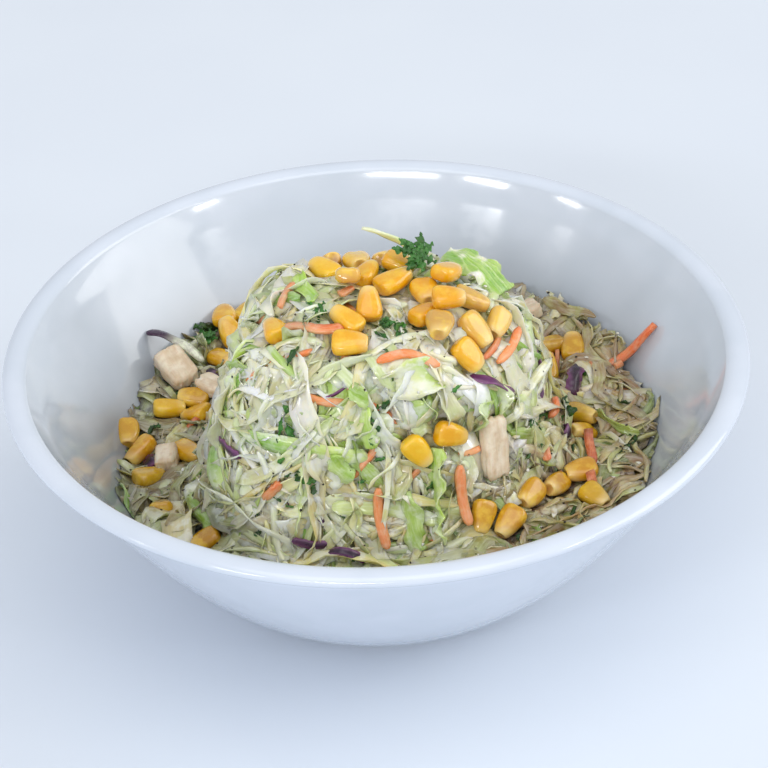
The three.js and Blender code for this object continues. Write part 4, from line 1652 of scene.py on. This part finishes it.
@dataclass(frozen=True)
class Kernels:
    """Sweetcorn kernels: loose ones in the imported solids' places, and more mixed into the bed."""

    outline: tuple[tuple[float, float], ...] = (
        (-0.47, 0.14),
        (-0.49, 0.3),
        (-0.5, 0.44),
        (-0.485, 0.55),
        (-0.43, 0.66),
        (-0.32, 0.78),
        (-0.18, 0.88),
        (-0.02, 0.96),
        (0.13, 1.0),
        (0.26, 1.0),
        (0.36, 0.95),
        (0.43, 0.84),
        (0.475, 0.66),
        (0.495, 0.4),
        (0.5, 0.12),
    )
    around: int = 20
    size: tuple[float, float, float] = (9.6, 7.2, 4.9)
    roundness: float = 0.8
    dip: float = 0.16
    dip_half: float = 0.4
    unevenness: float = 0.05
    raised: float = 2.4
    lean: float = 0.12
    loose: int = 23
    golden: tuple[str, ...] = ("#EEB00C", "#E8A406", "#F1BC14", "#EAAA0A")
    pale: tuple[str, ...] = ("#E0B04C", "#D4A246", "#E4BA5A")
    pale_ones: tuple[int, ...] = (5, 13, 15, 16, 17)
    tip: str = "#EBCE88"
    cut_end: str = "#C08A3C"
    underside_shade: tuple[float, float, float] = (0.82, 0.64, 0.45)
    # Painted shade: the share of colour that the bed's kernels keep
    bed_shade: tuple[float, float] = (0.6, 0.88)

    def form(self, poses: list[Pose], crowns: Array, seed: int) -> Shape:
        """Builds kernels at poses.

        A ring at each place of the outline is a superellipse of power 2.5, as wide as the outline's share
        there and as thick as the share's root. Broad faces dip in the middle, and the whole bends a little
        sideways. The colour pales towards the tip, is brown at the cut end and darker underneath with painted
        shade.

        Args:
            poses: where each kernel lies.
            crowns: linear colour of each crown.
            seed: for the small differences between kernels.

        Returns:
            The joined kernels.
        """
        draw = np.random.default_rng(seed)
        count = len(poses)
        station, share = np.array(self.outline).T[..., None]
        angle = full_turn(self.around)
        c, s = np.cos(angle), np.sin(angle)
        round_c, round_s = (np.sign(wave) * np.abs(wave) ** self.roundness for wave in (c, s))
        half = np.stack([pose.half for pose in poses])[:, None, None]
        x = 2 * station * half[..., 0] * np.ones_like(c)
        y = half[..., 1] * share * round_c
        dip = 1 - self.dip * np.exp(-((round_c / self.dip_half) ** 2)) * smooth(station, -0.4, 0.2)
        z = half[..., 2] * np.sqrt(share) * round_s * dip
        fat, shift, bend = draw.normal(0, self.unevenness, (3, count, 1, 1))
        bulge = self.unevenness * np.sin(4 * station + shift * 60)
        y = y * (1 + fat + bulge) + bend * half[..., 1] * (4 * station**2 - 0.5)
        local = np.stack([x, y, z], -1)
        axes = np.stack([pose.axes for pose in poses])
        middle = np.stack([pose.middle for pose in poses])
        rings = np.einsum("ksrc,kcd->ksrd", local, axes) + middle[:, None, None]
        tip = 1 - smooth(station + 0.08 * c, -0.5, -0.12)
        tip = (tip * draw.uniform(0.5, 1.0, (count, 1, 1)))[..., None]
        cut_end = (1 - smooth(share, 0.2, 0.5))[None, ..., None] * (station < 0)[None, ..., None] * 0.7
        tint = mixed(crowns[:, None, None], linear(self.tip), tip)
        tint = mixed(tint, linear(self.cut_end), cut_end)
        # Painted shade: the underside is darkened towards amber
        under = smooth(-z / half[..., 2], -0.3, 0.9)[..., None]
        tint = tint * (1 - under * (1 - np.array(self.underside_shade)))
        number = np.broadcast_to(np.arange(count)[:, None, None] * 5.3, x.shape)
        return tubes(rings, tint * np.ones_like(rings), np.stack([x + half[..., 0], y, number], -1))

    def bed_poses(self, draw: np.random.Generator) -> list[Pose]:
        """Lays the bed's kernels on the heap's slope among the shreds, at their places and turns in plan."""
        poses = []
        for x, y, turn in BED_KERNELS:
            plan = np.array([x, y], float)
            normal = HEAP.normal(plan)
            angle = math.radians(turn)
            flat = np.array([math.cos(angle), math.sin(angle), 0])
            first = unit(flat - normal * (flat @ normal) + normal * draw.normal(0, self.lean))
            third = unit(normal - first * (normal @ first))
            half = np.array(self.size) / 2 * draw.uniform(0.9, 1.04, 3)
            middle = HEAP.ground(plan) + normal * self.raised
            poses.append(Pose(middle, np.stack([first, np.cross(third, first), third]), half))
        return poses

    def build(self) -> None:
        """Builds the loose kernels and the bed's kernels, and notes them all as obstacles for the shreds."""
        draw = np.random.default_rng(5)
        skin = KERNEL_SKIN.material()
        names = [f"corn_{i}" for i in range(1, self.loose + 1)]
        loose = [read_pose(name) for name in names]
        golden, pale = palette(*self.golden), palette(*self.pale)
        crowns = golden[draw.integers(0, len(golden), self.loose)]
        for i, number in enumerate(self.pale_ones):
            crowns[number - 1] = pale[i % len(pale)]
        make_piece("loose_sweetcorn", self.form(loose, crowns, 6), skin, "sweetcorn", *names)
        bed = self.bed_poses(draw)
        crowns = golden[draw.integers(0, len(golden), len(bed))]
        # Painted shade: the bed's kernels are darker than the loose ones
        crowns = crowns * draw.uniform(*self.bed_shade, (len(bed), 1))
        make_piece("bed_sweetcorn", self.form(bed, crowns, 7), skin, "sweetcorn")
        for pose in loose + bed:
            TOPPINGS.add(pose)


# Kernels mixed into the bed: x, y and turn in degrees
BED_KERNELS = (
    (-42, 54, 296),
    (-44, 60, 272),
    (-38, 62, 250),
    (-33, 66, 254),
    (-45, 43, 134),
    (-60, 23, 188),
    (-52, 27, 348),
    (-51, 18, 326),
    (-71, 13, 92),
    (-66, 5, 40),
    (-53, 0, 134),
    (-64, -8, 210),
    (-60, -23, 274),
    (-47, -42, 12),
    (50, 36, 20),
    (57, 35, 266),
    (49, 26, 264),
    (42, 12, 346),
    (57, 5, 142),
    (55, -4, 34),
    (26, -43, 96),
    (39, -35, 62),
    (46, -29, 46),
    (34, -44, 56),
    (54, -23, 18),
    (58, -33, 126),
    (6, 60, 45),
    (-14, 52, 110),
    (28, 57, 20),
)


@dataclass(frozen=True)
class Chicken:
    """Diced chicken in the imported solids' places: blocks with torn, fibrous faces."""

    count: int = 5
    stations: int = 22
    around: int = 28
    squareness: float = 5.0
    fill: float = 0.96
    relief: float = 0.32
    fibre_size: float = 1.7
    lump_size: float = 4.5
    colours: tuple[str, str] = ("#D0B999", "#E8DAC3")
    fleck: str = "#B98F66"
    fleck_size: float = 2.3

    def build(self) -> None:
        """Builds the dice and notes them as obstacles for the shreds."""
        names = [f"chicken_{i}" for i in range(1, self.count + 1)]
        poses = [read_pose(name) for name in names]
        for pose in poses:
            TOPPINGS.add(pose)
        dice = [self.dice(pose, number) for number, pose in enumerate(poses)]
        make_piece("diced_chicken", Shape.joined(dice), MEAT.material(), "diced_chicken", *names)

    def dice(self, pose: Pose, number: int) -> Shape:
        """Builds one of the dice.

        Each ring is a superellipse of power 5 whose size falls off towards both ends. Fibres stand out as a
        ripple that is four times as long along the dice as across it, over larger lumps.
        """
        place = np.sin(np.linspace(-1, 1, self.stations) * math.pi / 2)[:, None]
        angle = full_turn(self.around)
        c, s = np.cos(angle), np.sin(angle)
        size = (np.abs(c) ** self.squareness + np.abs(s) ** self.squareness) ** (-1 / self.squareness)
        end = np.clip(1 - np.abs(place) ** 9, 0.04, 1) ** 0.22
        local = np.stack(
            [
                place * pose.half[0] * np.ones_like(c),
                pose.half[1] * self.fill * end * size * c,
                pose.half[2] * self.fill * end * size * s,
            ],
            -1,
        )
        fibres = ripple(local * [0.25, 1, 1], self.fibre_size, 90 + number)
        fibres = fibres + 0.8 * ripple(local, self.lump_size, 95 + number)
        local = local * (1 - self.relief / np.maximum(pose.half[1], 1) * (0.6 + 0.5 * fibres))[..., None]
        tint = mixed(*palette(*self.colours), smooth(fibres, -1.2, 1.4)[..., None])
        fleck = smooth(ripple(local, self.fleck_size, 99 + number), 0.9, 1.5)[..., None] * 0.5
        tint = mixed(tint, linear(self.fleck), fleck)
        grain = np.concatenate([local[..., :2], np.full((*local.shape[:2], 1), number * 4.1)], -1)
        return tubes((local @ pose.axes + pose.middle)[None], tint[None], grain[None])


@dataclass(frozen=True)
class CabbageLeaf:
    """The large green leaf on the mound's back right shoulder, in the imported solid's place."""

    stations: int = 60
    columns: int = 40
    thickness: float = 0.8
    rounding: float = 0.45
    droop: float = 2.4
    wave_count: float = 2.5
    wave_height: float = 1.1
    rib_slants: tuple[float, ...] = (-0.75, -0.42, -0.16, 0.1, 0.38, 0.7)
    rib_width: float = 0.045
    rib_height: float = 0.35
    crinkle: float = 0.25
    fill: tuple[float, float] = (0.98, 0.97)
    greens: tuple[str, str] = ("#A9CC58", "#7BB02E")
    rib_colour: str = "#DDEAB0"
    milk: str = "#F2F1E0"

    def build(self) -> None:
        """Builds the leaf.

        With u along and v across from -1 to 1, the leaf's edge follows the root of 1 minus 0.45 u squared.
        It droops with u squared plus half v squared, and its edge waves as a sine of u times v squared. Ribs
        fan from its base, raised as narrow bells. Dressing has run over it in patches, most at its base.
        """
        pose = read_pose("green_leaf")
        TOPPINGS.add(Pose(pose.middle, pose.axes, pose.half * [1, 0.8, 1]))
        ring = section(self.columns, 0.4)
        u = np.linspace(-1, 1, self.stations)[:, None]
        v = ring[:, 0] * np.ones_like(u)
        edge = 1 + 0.03 * np.sin(23 * u) * np.sign(v) + 0.02 * np.sin(41 * u + 1)
        y = v * np.sqrt(1 - self.rounding * u * u) * pose.half[1] * edge * self.fill[1]
        wave = self.wave_height * np.sin(self.wave_count * math.pi * u) * v * v
        sag = self.droop * (u * u + 0.5 * v * v)
        ribs = sum(np.exp(-(((v - slant * (u + 1.1)) / self.rib_width) ** 2)) for slant in self.rib_slants)
        crinkle = self.crinkle * ripple(np.stack([u * 10 + 0 * v, v * 7, 0 * v], -1), 4.0, 8)
        z = wave - sag + self.rib_height * ribs + crinkle
        z = z - (z.max() + z.min()) / 2 + ring[:, 1] * self.thickness / 2
        local = np.stack([u * pose.half[0] * self.fill[0] * np.ones_like(v), y, z], -1)
        tint = mixed(*palette(*self.greens), smooth(ripple(local, 13.0, 12), -0.9, 0.7)[..., None])
        tint = mixed(tint, linear(self.rib_colour), np.clip(ribs, 0, 1)[..., None] * 0.45)
        tint = mixed(tint, linear(self.milk), smooth(ripple(local, 9.0, 15) - 1.1 * u, 0.5, 1.1)[..., None])
        rings = (local @ pose.axes + pose.middle)[None]
        shape = tubes(rings, tint[None], (local * [1, 1, 0])[None])
        make_piece("cabbage_leaf", shape, OUTER_LEAF.material(), "green_cabbage", "green_leaf")


@dataclass(frozen=True)
class Parsley:
    """Parsley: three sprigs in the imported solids' places, and small bits over the salad."""

    sprigs: int = 3
    leaflets: int = 7
    stations: int = 22
    columns: int = 6
    leaflet_width: float = 0.27
    upper_size: float = 0.66
    thickness: float = 0.44
    frill: float = 0.132
    tip_light: float = 1.15
    bits: int = 150
    cluster: int = 5
    cluster_spread: float = 1.1
    cluster_raised: float = 0.8

    def sprig(self, pose: Pose, seed: int) -> Shape:
        """Builds a sprig: two rounds of leaflets, the upper ones smaller, lobed at their edges and curled.

        Leaflet n points at n sevenths of a turn, give or take a little. Its width swells and falls with the
        sine of the place along, cut into lobes by the size of a faster sine. It curls with the square of the
        distance out, and its edges frill by a sine along it.
        """
        draw = np.random.default_rng(seed)
        ring = section(self.columns, 0.6)
        v, along = ring[:, 0], np.linspace(0, 1, self.stations)[:, None]
        deep, spread = pose.half[2], float(np.mean(pose.half[:2]))
        shapes = []
        for n in range(self.leaflets * 2):
            upper = n >= self.leaflets
            angle = 2 * math.pi * n / self.leaflets + draw.normal(0, 0.2) + upper * 0.6
            size = spread * draw.uniform(0.86, 0.99) * (self.upper_size if upper else 1)
            out = along * size * np.ones_like(v)
            aside = Outline.LEAFLET.width(along) * size * self.leaflet_width * v
            curl = draw.uniform(-0.5, 1.0) * deep * along**2
            frill = self.frill * size * np.sin(along * 19 + 2 * v) * v * v
            level = 0.35 * deep * (1 if upper else -0.3)
            rise = np.clip(curl + frill, -deep, deep) * 0.8 + ring[:, 1] * self.thickness / 2 + level
            c, s = math.cos(angle), math.sin(angle)
            local = np.stack([out * c - aside * s, out * s + aside * c, rise], -1)
            share = (along * 0.7 + 0.3 * np.abs(v))[..., None]
            first, last = (HERB_COLOURS[(n + step) % len(HERB_COLOURS)] for step in (0, 1))
            tint = mixed(first, last * self.tip_light, share)
            grain = np.stack([out, aside, np.full(out.shape, n * 2.3)], -1)
            shapes.append(tubes((local @ pose.axes + pose.middle)[None], tint[None], grain[None]))
        return Shape.joined(shapes)

    def build(self) -> None:
        """Builds the sprigs, the clusters that show in the photograph and the fine bits."""
        herb = HERB.material()
        names = [f"parsley_{i}" for i in range(1, self.sprigs + 1)]
        sprigs = [self.sprig(read_pose(name), 40 + i) for i, name in enumerate(names)]
        make_piece("parsley_sprigs", Shape.joined(sprigs), herb, "parsley_leaf", *names)
        draw = np.random.default_rng(8)
        start = np.repeat(CAMERA.cast(np.array(SHOWN_HERB, float))[:, :2], self.cluster, axis=0)
        clusters = Strips.laid(BIT_CUT, start + draw.normal(0, self.cluster_spread, start.shape), draw)
        clusters.layer += self.cluster_raised
        scattered = Strips.scattered(BIT_CUT, self.bits, Slaw.reach, 10)
        bits = [strips.shape(HERB_COLOURS) for strips in (clusters, scattered)]
        make_piece("parsley_bits", Shape.joined(bits), herb, "parsley_leaf")


@dataclass(frozen=True)
class Specks:
    """Small grains that lie on the shreds, such as cracked pepper: most are near the smaller size."""

    name: str
    finish: FoodFinish
    count: int
    size: tuple[float, float]
    flat: float
    colours: Array
    seed: int
    stations: int = 5
    around: int = 6
    unevenness: float = 0.2

    def build(self, skin: Array) -> None:
        """Builds the grains on points of the salad's skin, as uneven six-sided barrels turned at random."""
        draw = np.random.default_rng(self.seed)
        middle = skin[draw.permutation(len(skin))[: self.count]]
        count = len(middle)
        normal = HEAP.normal(middle[:, :2])
        size = draw.uniform(0, 1, (count, 1)) ** 2 * (self.size[1] - self.size[0]) + self.size[0]
        along = np.linspace(-1, 1, self.stations)[:, None]
        angle = full_turn(self.around)
        radius = np.sqrt(np.clip(1 - along**2, 0.05, 1))
        local = np.stack([along + 0 * angle, radius * np.cos(angle), radius * np.sin(angle) * self.flat], -1)
        uneven = 1 + draw.normal(0, self.unevenness, (count, self.stations, self.around, 1))
        local = local[None] * uneven * size[..., None, None] / 2
        first = unit(np.cross(normal, draw.normal(size=(count, 3))))
        axes = np.stack([first, np.cross(normal, first), normal], 1)
        rings = BOWL.inside(np.einsum("ksrc,kcd->ksrd", local, axes) + middle[:, None, None], WALL_GAP)
        tint = self.colours[draw.integers(0, len(self.colours), count)][:, None, None] * np.ones_like(rings)
        make_piece(self.name, tubes(rings, tint, local), self.finish.material(), "dressed_slaw")


CRACKED_PEPPER = Specks("cracked_pepper", PEPPER, 620, (0.3, 0.8), 0.6, palette("#221E1A", "#3A3028"), 81)
DRESSING_BEADS = Specks("dressing_beads", DRESSING, 130, (0.4, 1.3), 0.4, palette("#F5F1E2", "#EFE9D2"), 82)


@dataclass(frozen=True)
class Light:
    """A soft lamp: its name, place and aim in metres, side, power and colour."""

    name: str
    place: tuple[float, float, float]
    side: tuple[float, float]
    power: float
    colour: str
    aim: tuple[float, float, float] = (0.0, 0.0, 0.05)

    def build(self) -> None:
        """Adds the lamp, turned so that it shines at its aim."""
        data = bpy.data.lights.new(self.name, "AREA")
        data.shape = "RECTANGLE"
        data.size, data.size_y = self.side
        data.energy = self.power
        data.color = tuple(linear(self.colour))
        lamp = bpy.data.objects.new(self.name, data)
        lamp.location = self.place
        lamp.rotation_euler = (Vector(self.aim) - Vector(self.place)).to_track_quat("-Z", "Y").to_euler()
        bpy.context.scene.collection.objects.link(lamp)


@dataclass(frozen=True)
class Studio:
    """A pale floor in a bright room.

    Four narrow windows stand in front and to both sides, and a broad wall of light to the right. A ceiling
    and an even sky fill the shade.
    """

    half: float = 2.5
    lights: tuple[Light, ...] = (
        Light("front_window", (-0.43, -2.07, 1.21), (0.9, 0.2), 9.0, "#FFFFFF"),
        Light("front_left_window", (-1.4, -1.63, 1.12), (0.55, 0.2), 6.5, "#FFFFFF"),
        Light("left_window", (-2.12, -0.78, 0.9), (0.32, 0.13), 2.6, "#FFFFFF"),
        Light("right_window", (1.82, -1.21, 1.01), (0.32, 0.15), 3.0, "#FFFFFF"),
        Light("ceiling", (0.0, -0.7, 2.2), (2.0, 1.5), 13.0, "#FFFEFA"),
        Light("right_wall", (2.5, 0.1, 1.5), (2.4, 1.8), 32.0, "#FFFDF8"),
    )
    sky: str = "#EDF0F5"
    sky_strength: float = 0.7

    def build(self) -> None:
        """Adds the floor, the lamps and an even sky."""
        mesh = bpy.data.meshes.new("floor")
        corners = [(x * self.half, y * self.half, 0.0) for x, y in ((-1, -1), (1, -1), (1, 1), (-1, 1))]
        mesh.from_pydata(corners, [], [(0, 1, 2, 3)])
        mesh.materials.append(Floor().material())
        floor = bpy.data.objects.new("floor", mesh)
        bpy.context.scene.collection.objects.link(floor)
        for light in self.lights:
            light.build()
        world = bpy.data.worlds.new("sky")
        bpy.context.scene.world = world
        world.use_nodes = True
        background = world.node_tree.nodes["Background"]
        background.inputs["Color"].default_value = rgba(self.sky)
        background.inputs["Strength"].default_value = self.sky_strength


def main() -> None:
    """Builds the scene in order: camera, studio, bowl, toppings, and the heap laid round them."""
    logging.basicConfig(level=logging.INFO, format="%(name)s %(message)s")
    bpy.context.scene.view_settings.view_transform = "Standard"
    CAMERA.build()
    Studio().build()
    BOWL.build(Glaze().material())
    Kernels().build()
    Chicken().build()
    CabbageLeaf().build()
    Parsley().build()
    HeapCore().build()
    skin = Slaw().build()
    CRACKED_PEPPER.build(skin)
    DRESSING_BEADS.build(skin)


if __name__ == "__main__":
    main()
